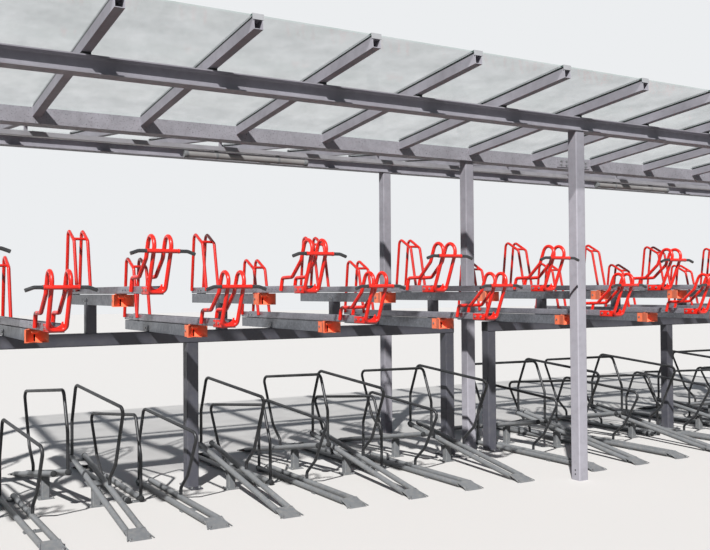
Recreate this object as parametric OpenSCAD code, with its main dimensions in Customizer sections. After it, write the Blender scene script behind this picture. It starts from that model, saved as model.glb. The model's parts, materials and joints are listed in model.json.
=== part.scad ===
// Covered bicycle parking: a steel frame of two bays, a glass roof that falls to a gutter along
// its middle, and a two-tier rack with upper trays that pull out and fixed lower rails.
// Millimetres. +X runs along the shelter, +Y from the front to the rear, +Z up.
// The origin is on the floor, on the axis of the middle column between the two bays.

/* [Layout] */
// Distance between two columns along the shelter
bay_l = 5750; // [5700:10:6300]
// Distance between the front and the rear columns
frame_d = 3000; // [2900:10:3300]
// Overhang of the rafters past the front and rear columns
eave = 749; // [500:1:950]
// Height of the top of the longitudinal beams
beam_top = 3050; // [2900:10:3300]

/* [Columns] */
// Side of the square column tube
column_w = 100; // [80:5:120]
// Wall of the column tube
column_wall = 5; // [3:0.5:8]
// Outer corner radius of the column tube
column_corner = 10; // [6:1:14]

/* [Longitudinal beams] */
// Depth of the rolled beam
beam_h = 114; // [96:2:152]
// Width of the beam's flanges
beam_w = 120; // [100:5:160]
// Thickness of the beam's web
beam_web = 5; // [4:0.5:8]
// Thickness of the beam's flanges
beam_flange = 8; // [6:0.5:12]
// Root radius between web and flange
beam_root = 12; // [8:1:14]

/* [Gutter] */
// Width of the gutter beam
gutter_w = 156; // [130:2:200]
// Depth of the gutter beam
gutter_h = 120; // [100:2:160]
// Wall of the gutter beam
gutter_wall = 5; // [4:0.5:8]
// Width of the lips that fold in at the gutter's rim
gutter_lip = 22; // [14:1:34]
// Distance of the gutter's joint from the middle column
splice_x = 1232; // [1150:1:1300]
// Length of the plates over the joint
splice_l = 460; // [360:10:500]
// Height of the plates over the joint
splice_h = 90; // [70:2:96]
// Thickness of the plates over the joint
splice_t = 8; // [5:1:12]

/* [Rafters] */
// Number of glass panes from column to column
panes = 7; // [5:1:9]
// Width of a rafter
rafter_w = 60; // [50:2:80]
// Depth of a rafter
rafter_h = 70; // [60:2:90]
// Wall of a rafter
rafter_wall = 4; // [3:0.5:5]
// Fall of the roof towards the gutter, in degrees
roof_pitch = 5.785; // [4:0.005:7]
// Height of the packer between beam and rafter
packer_h = 15; // [12:1:30]
// Length of the packer along the rafter
packer_l = 80; // [50:5:110]

/* [Glazing] */
// Thickness of the rubber under the glass
gasket_t = 6; // [4:0.5:10]
// Thickness of the laminated glass
glass_t = 10; // [8:0.5:14]
// Gap between two panes
joint_gap = 16; // [12:1:20]
// How far the glass reaches over the gutter
glass_lap = 25; // [10:1:40]
// Width of the strip that covers a joint
cover_w = 50; // [40:1:56]
// Thickness of the strip that covers a joint
cover_t = 5; // [3:0.5:8]
// Width of the cap on a rafter's end
cap_w = 75; // [64:1:90]
// How far the cap reaches down over the rafter's end
cap_drop = 12; // [6:1:30]
// How far the cap reaches back over the joint
cap_return = 34; // [20:1:60]
// Thickness of the cap
cap_t = 3; // [2:0.5:5]

/* [Lighting] */
// Width of the cable trunking
duct_w = 60; // [40:2:80]
// Height of the cable trunking
duct_h = 38; // [30:1:60]
// Wall of the cable trunking
duct_wall = 2; // [1.5:0.5:3]
// Distance of the trunking behind the middle columns
duct_back = 350; // [250:10:450]
// Height of the trunking's underside
duct_z = 2842; // [2780:2:2860]
// Diameter of the tubular lights
light_d = 64; // [40:2:80]
// Length of a tubular light
light_l = 1200; // [600:10:1500]
// Drop from the trunking to the top of a light
light_drop = 14; // [8:1:40]
// Place of the left bay's light along the shelter
light_left_x = -2200; // [-4000:10:-900]
// Place of the right bay's light along the shelter
light_right_x = 2740; // [900:10:4000]

/* [Rack frame] */
// Side of the rack's square posts
post_w = 100; // [80:5:110]
// Wall of the posts and of the rack's beam
post_wall = 5; // [4:0.5:8]
// Distance of the end posts from the column line
post_offset = 260; // [230:5:262]
// Length of a post's foot plate from front to rear
foot_l = 280; // [240:10:340]
// Thickness of a post's foot plate
foot_t = 12; // [8:1:20]
// Radius of the anchor holes in the foot plate
foot_hole_r = 9; // [6:0.5:11]
// Distance of the anchor holes from front to rear
foot_hole_span = 220; // [190:5:240]
// Distance of the anchor holes along the shelter
foot_hole_gap = 60; // [50:2:64]
// Depth and width of the rack's beam
rack_beam_w = 100; // [80:5:120]
// Height of the top of the rack's beam
rack_beam_top = 1285; // [1200:5:1400]
// Side of the stub posts under the high tracks
stub_w = 80; // [60:5:90]
// Wall of the stub posts
stub_wall = 4; // [3:0.5:6]

/* [Tracks] */
// Width of a fixed track
track_w = 70; // [62:1:80]
// Height of a fixed track
track_h = 80; // [75:1:95]
// Wall of a fixed track
track_wall = 4; // [3:0.5:5]
// Width of the lips at a track's open top
track_lip = 6; // [4:1:9]
// Place of the high tracks' front ends behind the front columns
high_track_front = 700; // [640:5:780]
// Place of the low tracks' front ends behind the front columns
low_track_front = 560; // [520:5:640]
// Height step from the low tracks to the high ones
tier_step = 220; // [180:5:260]
// Length of the coloured guide at a track's front end
guide_l = 150; // [120:5:180]
// How far a guide's cheek spreads to each side
guide_flare = 36; // [15:1:38]
// Thickness of the guide
guide_t = 5; // [3:0.5:7]
// Radius of the guide's support roller
guide_roller_r = 18; // [12:1:20]

/* [Trays] */
// Distance from one tray to the next
tray_pitch = 545; // [520:1:560]
// Shift of the low trays along the shelter against the even pitch
low_shift = -60; // [-80:5:0]
// Width of a tray
tray_w = 80; // [72:1:90]
// Height of a tray
tray_h = 50; // [40:1:60]
// Wall of a tray
tray_wall = 4; // [3:0.5:5]
// Place of a tray's front end, before the front columns when negative
tray_front = -90; // [-140:5:0]
// Place of a tray's inner end
tray_end = 2100; // [2060:5:2200]
// Running gap between tray and track
tray_gap = 5; // [5:0.5:10]
// Radius of the rollers that run in the track
roller_r = 26; // [20:1:28]
// Width of the rollers
roller_w = 44; // [36:1:46]
// Distance between a tray's two rollers
roller_span = 120; // [80:5:160]

/* [Wheel holders] */
// Radius of the red hoop tube
hoop_r = 13.5; // [10:0.5:14]
// Height of the front hoops above the tray's floor
hoop_top = 370; // [340:2:420]
// Lean of the front hoops to the front, in degrees
hoop_lean = 23.8; // [16:0.1:28]
// Depth of a front hoop between its two legs' axes
hoop_depth = 124; // [122:1:140]
// Bend radius at the top of a front hoop
hoop_bend = 60; // [50:1:60]
// Bend radius at the feet of the front hoops
foot_bend = 30; // [24:1:36]
// Length of the yoke's cheeks along the tray
cheek_l = 165; // [120:5:200]
// Height of the handle bar above the tray's floor
handle_z = 262; // [230:2:290]
// Reach of the handle to each side
handle_reach = 205; // [170:5:230]
// Reach of the handle's red middle to each side
handle_mid = 100; // [80:5:120]
// Radius of the black levers at the handle's ends
grip_r = 11.5; // [9:0.5:13]
// Height of the inner holder above the tray
inner_top = 500; // [440:5:560]
// Thickness of the yoke plate round a tray's front end
yoke_t = 5; // [4:0.5:7]

/* [Lower rails] */
// Radius of a rail tube
rail_r = 21.2; // [17:0.1:24.2]
// Distance between the two tubes of a rail
rail_gauge = 103; // [96:1:110]
// Place of the ramp's front edge behind the front columns
rail_front = 158; // [120:2:220]
// Length of the ramp
ramp_l = 150; // [120:5:180]
// Thickness of the ramp plate
ramp_t = 4; // [3:0.5:6]
// Place of the rails' inner ends
rail_end = 1810; // [1740:5:1850]
// Height of the tube axis where a rail starts
rail_z = 28; // [26:0.5:32]
// Rise of a raised rail from its front to its inner end
rail_rise = 260; // [200:5:300]
// Shift of the lower rails against the trays above
rail_shift = -20; // [-60:1:0]
// Side of the posts under the raised rails
rail_post_w = 60; // [40:5:80]
// Place of those posts behind the front columns
rail_post_y = 1270; // [1150:5:1350]
// Radius of the black hoop tube
guard_r = 12.5; // [9:0.5:14]
// Place of a black hoop's front foot
guard_foot = 1075; // [1000:5:1150]
// Place of the front bend at the top of a black hoop
guard_bend = 715; // [650:5:800]
// Height of that bend above the front foot
guard_front = 510; // [450:5:600]
// Height of the rear bend above the front foot
guard_rear = 600; // [540:5:680]
// How much taller the hoops on the raised rails are
guard_raise = 90; // [0:5:120]
// Number of rear rails on each side of a rack's middle post
rear_rails = 4; // [1:1:4]

/* [Hidden] */
TRAYS_PER_BAY = 10;
TRAYS = 2 * TRAYS_PER_BAY;
function tray_name(k) = str("tray_", k < 9 ? "0" : "", k + 1);
TRAY_NAMES = [for (k = [0:TRAYS - 1]) tray_name(k)];
$fn = 32;
// Clearance of a piece that is seated on another
seat = 0.3;
// Overlap of a cutting shape past the face that it cuts
cut = 1;
// How far a straight tube reaches into a bend, and how much thicker the bend is for it
weld_l = 2;
weld_t = 0.3;
mid_y = frame_d / 2;
column_lines = [-bay_l, 0, bay_l];
bay_middles = [-bay_l / 2, bay_l / 2];
half_l = bay_l + column_w / 2;
beam_bottom = beam_top - beam_h;
rafter_xs = [for (i = [-panes:panes]) i * bay_l / panes];
rafter_in = mid_y - gutter_w / 2;
joint_h = gasket_t + glass_t;
// Height of a rafter's top edge at its front end
roof_front_z = beam_top + packer_h + rafter_h / cos(roof_pitch) + eave * tan(roof_pitch);
gutter_top = roof_front_z - (rafter_in + eave) * tan(roof_pitch);
gutter_bottom = gutter_top - gutter_h;
splice_mid = splice_x + column_w + 28;
duct_y = mid_y + duct_back;
rack_beam_bottom = rack_beam_top - rack_beam_w;
track_end = tray_end;
low_track_z = rack_beam_top;
high_track_z = rack_beam_top + tier_step;
hoop_x = tray_w / 2 + hoop_r + seat;
roller_y = tray_end - 80;
rail_start = rail_front + ramp_l - 13;
rail_slope = rail_rise / (rail_end - rail_start);

function unit(v) = v / norm(v);
// A side profile (y, z) as points in space at the place x
function at_x(x, profile) = [for (p = profile) [x, p[0], p[1]]];
function reversed(list) = [for (i = [len(list) - 1:-1:0]) list[i]];
function is_high(k) = k % 2 == 1;
// Even places along the shelter, which the lower rails keep
function place_x(k) = (floor(k / TRAYS_PER_BAY) - 0.5) * bay_l
    + (k % TRAYS_PER_BAY - (TRAYS_PER_BAY - 1) / 2) * tray_pitch;
function tray_x(k) = place_x(k) + (is_high(k) ? 0 : low_shift);
function track_z(k) = is_high(k) ? high_track_z : low_track_z;
function track_front(k) = is_high(k) ? high_track_front : low_track_front;
// Lower rails as [place along the shelter, raised or not, in the rear row or not]
LOWER_RAILS = concat([for (k = [0:TRAYS - 1]) [place_x(k) + rail_shift, is_high(k), false]],
                     [for (m = bay_middles, n = [-rear_rails:rear_rails]) if (n != 0)
                         [m + n * tray_pitch + rail_shift, n % 2 == 0, true]]);
// Height of a rail's tube axis at the distance y behind the front columns
function rail_axis_z(y, slope) = rail_z + (y - rail_start) * slope;
// A point of the roof's cross-section: s along the rafter's top edge from its front end, h above it
function on_roof(s, h) = [-eave + s * cos(roof_pitch) + h * sin(roof_pitch),
                          roof_front_z - s * sin(roof_pitch) + h * cos(roof_pitch)];
// Distance along the rafter at which the height h stands over the place y
function run_to(y, h) = (y + eave - h * sin(roof_pitch)) / cos(roof_pitch);

// A side profile (y, z) drawn out along X
module along_x(x, w) translate([x, 0, 0]) rotate([90, 0, 90]) linear_extrude(w) children();

// A front profile (x, z) drawn out along Y
module along_y(y, l) translate([0, y + l, 0]) rotate([90, 0, 0]) linear_extrude(l) children();

// The modules below measure y from the front columns, and the origin is under the gutter
module placed() translate([0, -mid_y, 0]) children();

// Everything in front of the gutter, and its mirror image behind it
module both_halves() {
    children();
    rear_half() children();
}

module rear_half() translate([0, frame_d, 0]) mirror([0, 1, 0]) children();

module rounded_square(w, r) {
    square([w, w - 2 * r], center = true);
    square([w - 2 * r, w], center = true);
    for (x = [-1, 1], y = [-1, 1]) translate([x, y] * (w / 2 - r)) circle(r);
}

// Upright square tube with rounded corners
module square_tube(w, wall, r, h) {
    difference() {
        linear_extrude(h) rounded_square(w, r);
        translate([0, 0, -cut]) linear_extrude(h + 2 * cut) rounded_square(w - 2 * wall, r - wall);
    }
}

// Turns the Z axis to the direction z and the X axis to the direction x, square to it
module facing(x, z) {
    y = cross(z, x);
    multmatrix([[x[0], y[0], z[0], 0], [x[1], y[1], z[1], 0], [x[2], y[2], z[2], 0], [0, 0, 0, 1]])
        children();
}

// Round tube along points in space, with a bend radius for each inner point
module bent_tube(points, bends, r) {
    last = len(points) - 1;
    dirs = [for (i = [0:last - 1]) unit(points[i + 1] - points[i])];
    turns = [for (i = [1:last - 1]) acos(dirs[i - 1] * dirs[i])];
    trims = concat(0, [for (i = [0:last - 2]) bends[i] * tan(turns[i] / 2)], 0);
    for (i = [0:last - 1]) {
        from = i == 0 ? 0 : trims[i] - weld_l;
        to = norm(points[i + 1] - points[i]) - (i == last - 1 ? 0 : trims[i + 1] - weld_l);
        side = unit(cross(dirs[i], abs(dirs[i][0]) < 0.9 ? [1, 0, 0] : [0, 1, 0]));
        translate(points[i]) facing(side, dirs[i]) translate([0, 0, from]) cylinder(r = r, h = to - from);
    }
    for (i = [1:last - 1]) {
        axis = unit(cross(dirs[i - 1], dirs[i]));
        out = cross(dirs[i - 1], axis);
        translate(points[i] - dirs[i - 1] * trims[i] - out * bends[i - 1]) facing(out, axis)
            rotate_extrude(angle = turns[i - 1]) translate([bends[i - 1], 0]) circle(r + weld_t);
    }
}

module columns(y, top) {
    color("#8f8b8c")
    for (x = column_lines) translate([x, y, 0]) square_tube(column_w, column_wall, column_corner, top);
}

module beam_profile() {
    in = beam_h / 2 - beam_flange;
    difference() {
        square([beam_w, beam_h], center = true);
        for (s = [-1, 1]) translate([s * (beam_w / 2 + beam_web / 2), 0]) difference() {
            square([beam_w, 2 * in], center = true);
            for (v = [-1, 1]) translate([-s * (beam_w / 2 - beam_root / 2), v * (in - beam_root / 2)])
                difference() {
                    square(beam_root, center = true);
                    translate([s, -v] * beam_root / 2) circle(beam_root);
                }
        }
    }
}

module long_beam(y) {
    color("#8f8b8c")
    translate([-half_l, y, beam_bottom + beam_h / 2]) rotate([90, 0, 90])
        linear_extrude(2 * half_l) beam_profile();
}

module gutter_profile() {
    w = gutter_w / 2;
    i = w - gutter_wall;
    polygon([[-w, gutter_bottom], [w, gutter_bottom], [w, gutter_top], [w - gutter_lip, gutter_top],
             [w - gutter_lip, gutter_top - gutter_wall], [i, gutter_top - gutter_wall],
             [i, gutter_bottom + gutter_wall], [-i, gutter_bottom + gutter_wall],
             [-i, gutter_top - gutter_wall], [gutter_lip - w, gutter_top - gutter_wall],
             [gutter_lip - w, gutter_top], [-w, gutter_top]]);
}

// The gutter is two lengths that butt under the splice plates, each with a closed outer end
module gutter_beam() {
    butt = 1;
    color("#8f8b8c") translate([0, mid_y, 0])
    for (part = [[-half_l, splice_mid - butt, -half_l], [splice_mid + butt, half_l, half_l - gutter_wall]]) {
        along_x(part[0], part[1] - part[0]) gutter_profile();
        translate([part[2], -gutter_w / 2, gutter_bottom])
            cube([gutter_wall, gutter_w, gutter_h - gutter_wall]);
    }
}

module gutter_splices() {
    color("#85827f") both_halves()
    translate([splice_mid - splice_l / 2, rafter_in - splice_t, gutter_top - gutter_h / 2 - splice_h / 2])
        cube([splice_l, splice_t, splice_h]);
}

// Band of the roof's cross-section between the heights h0 and h1, cut upright at y
module roof_band(h0, h1, y, s0 = 0) {
    polygon([on_roof(s0, h0), on_roof(run_to(y, h0), h0), on_roof(run_to(y, h1), h1), on_roof(s0, h1)]);
}

module rafters() {
    color("#8f8b8c")
    for (x = rafter_xs) difference() {
        along_x(x - rafter_w / 2, rafter_w) roof_band(-rafter_h, 0, rafter_in);
        along_x(x - rafter_w / 2 + rafter_wall, rafter_w - 2 * rafter_wall)
            roof_band(rafter_wall - rafter_h, -rafter_wall, rafter_in + cut, -cut);
    }
}

module rafter_packers() {
    top = beam_top + packer_h;
    rise = packer_l / 2 * tan(roof_pitch);
    color("#26262a") both_halves()
    for (x = rafter_xs) along_x(x - rafter_w / 2, rafter_w)
        polygon([[-packer_l / 2, beam_top], [packer_l / 2, beam_top], [packer_l / 2, top - rise],
                 [-packer_l / 2, top + rise]]);
}

module glazing_gaskets() {
    fin = joint_gap - 8;
    color("#1d1e20") both_halves()
    for (x = rafter_xs) {
        along_x(x - rafter_w / 2, rafter_w) roof_band(0, gasket_t, rafter_in);
        if (abs(x) < bay_l) along_x(x - fin / 2, fin) roof_band(gasket_t, joint_h, rafter_in);
    }
}

module glass() {
    last = len(rafter_xs) - 1;
    color("#bfe0d4", 0.4)
    for (i = [0:last - 1]) {
        from = i == 0 ? rafter_xs[0] - rafter_w / 2 : rafter_xs[i] + joint_gap / 2;
        to = i == last - 1 ? rafter_xs[last] + rafter_w / 2 : rafter_xs[i + 1] - joint_gap / 2;
        along_x(from, to - from) roof_band(gasket_t, joint_h, rafter_in + glass_lap);
    }
}

module cover_strips() {
    color("#b9b9ba") both_halves()
    for (x = rafter_xs) along_x(x - cover_w / 2, cover_w)
        roof_band(joint_h, joint_h + cover_t, rafter_in + glass_lap);
}

module rafter_caps() {
    top = joint_h + cover_t;
    color("#c4c4c4") both_halves()
    for (x = rafter_xs) along_x(x - cap_w / 2, cap_w)
        polygon([on_roof(-cap_t, -cap_drop), on_roof(0, -cap_drop), on_roof(0, top),
                 on_roof(cap_return, top), on_roof(cap_return, top + cap_t), on_roof(-cap_t, top + cap_t)]);
}

module cable_trunking() {
    color("#c9cacb") translate([0, duct_y, duct_z + duct_h / 2]) difference() {
        cube([2 * half_l, duct_w, duct_h], center = true);
        cube([2 * (half_l + cut), duct_w - 2 * duct_wall, duct_h - 2 * duct_wall], center = true);
    }
}

// Straps from the rear rafters down to the trunking
module trunking_hangers() {
    strap_w = 30;
    strap_t = 4;
    mirrored = frame_d - duct_y;
    color("#8f8b8c") rear_half()
    for (i = [0:2:2 * panes]) along_x(rafter_xs[i] - strap_w / 2, strap_w)
        polygon([[mirrored - strap_t / 2, duct_z + duct_h], [mirrored + strap_t / 2, duct_z + duct_h],
                 on_roof(run_to(mirrored + strap_t / 2, -rafter_h), -rafter_h),
                 on_roof(run_to(mirrored - strap_t / 2, -rafter_h), -rafter_h)]);
}

module tube_lights() {
    ferrule = 30;
    clip = 30;
    top = duct_z - light_drop;
    color("#e6e8e8")
    for (x = [light_left_x, light_right_x]) translate([x, duct_y, top - light_d / 2]) {
        rotate([0, 90, 0]) cylinder(d = light_d - 8, h = light_l, center = true);
        for (s = [-1, 1]) {
            translate([s * (light_l - ferrule) / 2, 0, 0])
                rotate([0, 90, 0]) cylinder(d = light_d, h = ferrule, center = true);
            translate([s * light_l / 4 - clip / 2, -clip / 2, light_d / 4])
                cube([clip, clip, light_d / 4 + light_drop]);
        }
    }
}

// Posts at both ends and in the middle of each rack, with foot plates drilled for anchors
module rack_posts() {
    color("#4b4e54")
    for (m = bay_middles, s = [-1, 0, 1]) translate([m + s * (bay_l / 2 - post_offset), mid_y, 0]) {
        translate([0, 0, foot_t]) square_tube(post_w, post_wall, 2 * post_wall, rack_beam_bottom - foot_t);
        difference() {
            translate([-post_w / 2, -foot_l / 2, 0]) cube([post_w, foot_l, foot_t]);
            for (x = [-1, 1], y = [-1, 1])
                translate([x * foot_hole_gap / 2, y * foot_hole_span / 2, -cut])
                    cylinder(r = foot_hole_r, h = foot_t + 2 * cut);
        }
    }
}

module rack_beams() {
    length = bay_l - 2 * post_offset + post_w;
    color("#4b4e54")
    for (m = bay_middles) translate([m - length / 2, mid_y, rack_beam_bottom + rack_beam_w / 2])
        rotate([90, 0, 90]) square_tube(rack_beam_w, post_wall, 2 * post_wall, length);
}

module stub_posts() {
    color("#4b4e54")
    for (k = [0:TRAYS - 1]) if (is_high(k)) translate([tray_x(k), mid_y, rack_beam_top])
        square_tube(stub_w, stub_wall, 2 * stub_wall, tier_step);
}

module track_profile() {
    w = track_w / 2;
    i = w - track_wall;
    polygon([[-w, 0], [w, 0], [w, track_h], [i - track_lip, track_h], [i - track_lip, track_h - track_wall],
             [i, track_h - track_wall], [i, track_wall], [-i, track_wall], [-i, track_h - track_wall],
             [track_lip - i, track_h - track_wall], [track_lip - i, track_h], [-w, track_h]]);
}

// Fixed lipped channels that the trays run on, with a stop at the inner end
module tracks(high) {
    color("#9a9ea3")
    for (k = [0:TRAYS - 1]) if (is_high(k) == high) translate([tray_x(k), 0, track_z(k)]) {
        along_y(track_front(k), track_end - track_front(k)) track_profile();
        translate([-track_w / 2, track_end - track_wall, 0]) cube([track_w, track_wall, track_h]);
    }
}

// Guide at a track's mouth: a floor, two fat cheeks that spread to the front and a support roller
module track_guides() {
    in = track_w / 2 + seat;
    out = in + guide_t;
    neck = 0;
    back = guide_l * 0.4;
    front = back - guide_l;
    roller_y = neck - guide_roller_r - 6;
    color("#f0622d")
    for (k = [0:TRAYS - 1]) translate([tray_x(k), track_front(k), track_z(k)]) {
        translate([0, 0, -guide_t]) linear_extrude(guide_t - seat)
            polygon([[-out, back], [out, back], [out, neck], [out + guide_flare, front],
                     [-out - guide_flare, front], [-out, neck]]);
        for (s = [-1, 1]) mirror([s < 0 ? 1 : 0, 0, 0])
            translate([0, 0, -guide_t]) linear_extrude(track_h + guide_t)
                polygon([[in, back], [out, back], [out, neck], [out + guide_flare, front],
                         [in + guide_flare - guide_t, front], [guide_t, neck - guide_roller_r], [in, neck]]);
        translate([0, roller_y, track_h + tray_gap - seat - guide_roller_r]) rotate([0, 90, 0])
            cylinder(r = guide_roller_r, h = 2 * out, center = true);
    }
}

module tray_profile() {
    w = tray_w / 2;
    polygon([[-w, 0], [w, 0], [w, tray_h], [w - tray_wall, tray_h], [w - tray_wall, tray_wall],
             [tray_wall - w, tray_wall], [tray_wall - w, tray_h], [-w, tray_h]]);
}

// Wheel channel with the carriage under its inner end that runs in the track
module tray_rail() {
    bracket_w = 30;
    axle_z = track_wall + seat + roller_r - track_h - tray_gap;
    color("#4b4e54") {
        along_y(tray_front, tray_end - tray_front) tray_profile();
        for (i = [0, 1]) translate([0, roller_y - i * roller_span, axle_z]) rotate([0, 90, 0])
            cylinder(r = roller_r, h = roller_w, center = true);
        translate([-bracket_w / 2, roller_y - roller_span - roller_r / 2, axle_z])
            cube([bracket_w, roller_span + roller_r, -axle_z + tray_wall / 2]);
    }
}

// One tube bent to two hoops and the bar between their feet, held to the tray's front end by a
// yoke: two cheeks, a floor and a plate with a notch for the wheel. The pull handle lies across it.
module front_holder() {
    yoke_in = tray_w / 2 + seat;
    yoke_out = yoke_in + yoke_t;
    floor_z = -yoke_t - seat;
    notch_r = yoke_in - 2 * yoke_t;
    plate_top = tray_h + 10;
    rise = [-sin(hoop_lean), cos(hoop_lean)];
    back = [cos(hoop_lean), sin(hoop_lean)];
    foot = [-hoop_r - 2, hoop_r - 3];
    turn_z = hoop_top - hoop_r - hoop_bend - back[1] * hoop_depth / 2 + rise[1] * hoop_bend;
    front_top = foot + rise * (turn_z - foot[1]) / rise[1];
    rear_top = front_top + back * hoop_depth;
    knee_z = 224;
    knee = rear_top - rise * (rear_top[1] - knee_z) / rise[1];
    rest = [[165, 110], [318, 106]];
    tail = [345, 15];
    front_path = concat([front_top, rear_top, knee], rest, [tail]);
    handle_y = foot[0] + rise[0] / rise[1] * (handle_z - foot[1]) - 1.3 * hoop_r;
    bends = [hoop_bend, hoop_bend, 40, 40, 25];
    color("#e6260f") translate([0, tray_front, 0]) {
        bent_tube(concat(reversed(at_x(-hoop_x, concat([foot], front_path))),
                         at_x(hoop_x, concat([foot], front_path))),
                  concat(reversed(bends), foot_bend, foot_bend, bends), hoop_r);
        translate([-yoke_out, foot[0], floor_z]) cube([2 * yoke_out, cheek_l, yoke_t]);
        for (x = [-yoke_out, yoke_in])
            translate([x, foot[0], floor_z]) cube([yoke_t, cheek_l, tray_h - floor_z - tray_wall]);
        difference() {
            translate([-yoke_in - cut, -2 - yoke_t, floor_z])
                cube([2 * (yoke_in + cut), yoke_t, plate_top - floor_z]);
            translate([0, cut, plate_top]) rotate([90, 0, 0]) cylinder(r = notch_r, h = 4 * yoke_t);
        }
        translate([0, handle_y, handle_z]) handle();
    }
}

// Handle bar: a red middle, and slimmer black levers whose ends turn down a little
module handle() {
    bend_x = handle_reach - 50;
    drop = 18;
    bent_tube([[-handle_reach, 0, -drop], [-bend_x, 0, 0], [bend_x, 0, 0], [handle_reach, 0, -drop]],
              [50, 50], grip_r);
    rotate([0, 90, 0]) cylinder(r = hoop_r, h = 2 * handle_mid, center = true);
}

// Taller pair of hoops at the inner end, which takes the front wheel
module inner_holder() {
    foot_z = 20;
    front_top = [-310, inner_top - 70];
    rear_top = [-110, inner_top + 50 - hoop_r];
    path = [[-400, foot_z], front_top, rear_top, [-45, foot_z]];
    bend = 40;
    tie_run = 32;
    tie = front_top + tie_run * unit(rear_top - front_top);
    color("#e6260f") translate([0, tray_end, 0]) {
        for (s = [-1, 1]) bent_tube(at_x(s * hoop_x, path), [bend, bend], hoop_r);
        translate([0, tie[0], tie[1]]) rotate([0, 90, 0])
            cylinder(r = hoop_r - 2, h = 2 * hoop_x, center = true);
    }
}

module tray(k) {
    translate([tray_x(k), 0, track_z(k) + track_h + tray_gap]) {
        tray_rail();
        front_holder();
        inner_holder();
    }
}

// Wheel rail of two tubes with a ramp plate at the front and cross plates under it
module rail(slope) {
    pitch = atan(slope);
    length = (rail_end - rail_start) / cos(pitch);
    plate_w = rail_gauge + 2 * rail_r;
    top = rail_z + rail_r - 3;
    for (s = [-1, 1]) translate([s * rail_gauge / 2, rail_start, rail_z])
        rotate([pitch - 90, 0, 0]) cylinder(r = rail_r, h = length);
    along_x(-plate_w / 2, plate_w)
        polygon([[rail_front, 0], [rail_front + 3 * ramp_t, 0], [rail_front + ramp_l, top - ramp_t],
                 [rail_front + ramp_l, top]]);
    translate([0, rail_end - 60, rail_axis_z(rail_end - 60, slope)]) rotate([pitch, 0, 0])
        translate([-plate_w / 2, 0, -rail_r - 2]) cube([plate_w, 50, 6]);
}

// Puts one lower rail's piece at every place of the rails; the rear row is turned to face the rear
module at_rails(high) {
    for (p = LOWER_RAILS) if (p[1] == high)
        translate([p[0], p[2] ? frame_d : 0, 0]) rotate(p[2] ? 180 : 0) children();
}

module flat_rails() {
    plate_w = rail_gauge + 2 * rail_r;
    color("#6c6e70") at_rails(false) {
        rail(0);
        for (y = [guard_bend, rail_end - 60])
            translate([-plate_w / 2, y, 0]) cube([plate_w, 50, rail_z - rail_r + 4]);
    }
}

module raised_rails() {
    color("#6c6e70") at_rails(true) rail(rail_slope);
}

// Posts under the raised rails, with a sloping saddle plate and a foot plate
module rail_posts() {
    saddle_l = 90;
    saddle_t = 6;
    foot_w = 120;
    pitch = atan(rail_slope);
    drop = (rail_r + seat) / cos(pitch);
    saddle_z = rail_axis_z(rail_post_y, rail_slope) - drop;
    color("#5c5e61") at_rails(true) translate([0, rail_post_y, 0]) {
        difference() {
            square_tube(rail_post_w, 4, 8, saddle_z + rail_post_w);
            translate([0, 0, saddle_z]) rotate([pitch, 0, 0])
                translate([-rail_post_w, -2 * rail_post_w, -saddle_t / 2])
                    cube([2 * rail_post_w, 4 * rail_post_w, 4 * rail_post_w]);
        }
        translate([0, 0, saddle_z]) rotate([pitch, 0, 0])
            translate([-rail_gauge / 2 - rail_r, -saddle_l / 2, -saddle_t])
                cube([rail_gauge + 2 * rail_r, saddle_l, saddle_t]);
        translate([-foot_w / 2, -foot_w / 2, 0]) cube([foot_w, foot_w, 6]);
    }
}

// Hoop of one tube: from the right rail tube it leans to the front, crosses over the wheel and comes
// down on the left rail tube's inner end
module rail_hoop(slope, taller) {
    side = rail_gauge / 2;
    foot_rise = 50;
    knee = [-150, 170];
    heel = [-130, -300];
    bends = [45, 70, 45, 60, 70];
    lift = (rail_r + guard_r * slope) / cos(atan(slope)) + seat;
    rear_y = rail_end - guard_r - 2;
    foot_z = rail_axis_z(guard_foot, slope) + lift;
    front_z = foot_z + guard_front + taller;
    rear_z = foot_z + guard_rear + taller;
    bent_tube([[side, guard_foot, foot_z], [side, guard_foot, foot_z + foot_rise],
               [side, guard_foot + knee[0], foot_z + knee[1]], [side, guard_bend, front_z],
               [-side, rear_y + heel[0], rear_z], [-side, rear_y, rear_z + heel[1]],
               [-side, rear_y, rail_axis_z(rear_y, slope) + lift]], bends, guard_r);
}

module flat_rail_hoops() {
    color("#1f2023") at_rails(false) rail_hoop(0, 0);
}

module raised_rail_hoops() {
    color("#1f2023") at_rails(true) rail_hoop(rail_slope, guard_raise);
}

placed() columns(0, beam_bottom);  // front_columns
placed() columns(mid_y, gutter_bottom);  // middle_columns
placed() columns(frame_d, beam_bottom);  // rear_columns
placed() long_beam(0);  // front_beam
placed() long_beam(frame_d);  // rear_beam
placed() gutter_beam();
placed() gutter_splices();
placed() rafters();  // front_rafters
placed() rear_half() rafters();  // rear_rafters
placed() rafter_packers();
placed() glazing_gaskets();
placed() glass();  // front_glass
placed() rear_half() glass();  // rear_glass
placed() cover_strips();
placed() rafter_caps();
placed() cable_trunking();
placed() trunking_hangers();
placed() tube_lights();
placed() rack_posts();
placed() rack_beams();
placed() stub_posts();
placed() tracks(false);  // low_tracks
placed() tracks(true);  // high_tracks
placed() track_guides();
placed() flat_rails();
placed() raised_rails();
placed() rail_posts();
placed() flat_rail_hoops();
placed() raised_rail_hoops();
for (k = [0:TRAYS - 1]) placed() tray(k);
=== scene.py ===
"""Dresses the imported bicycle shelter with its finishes, its finer pieces, its light and its camera.

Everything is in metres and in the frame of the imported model: +X runs along the shelter, +Y from
the front to the rear, +Z up, and the origin is on the floor under the middle of the gutter.
"""

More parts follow.
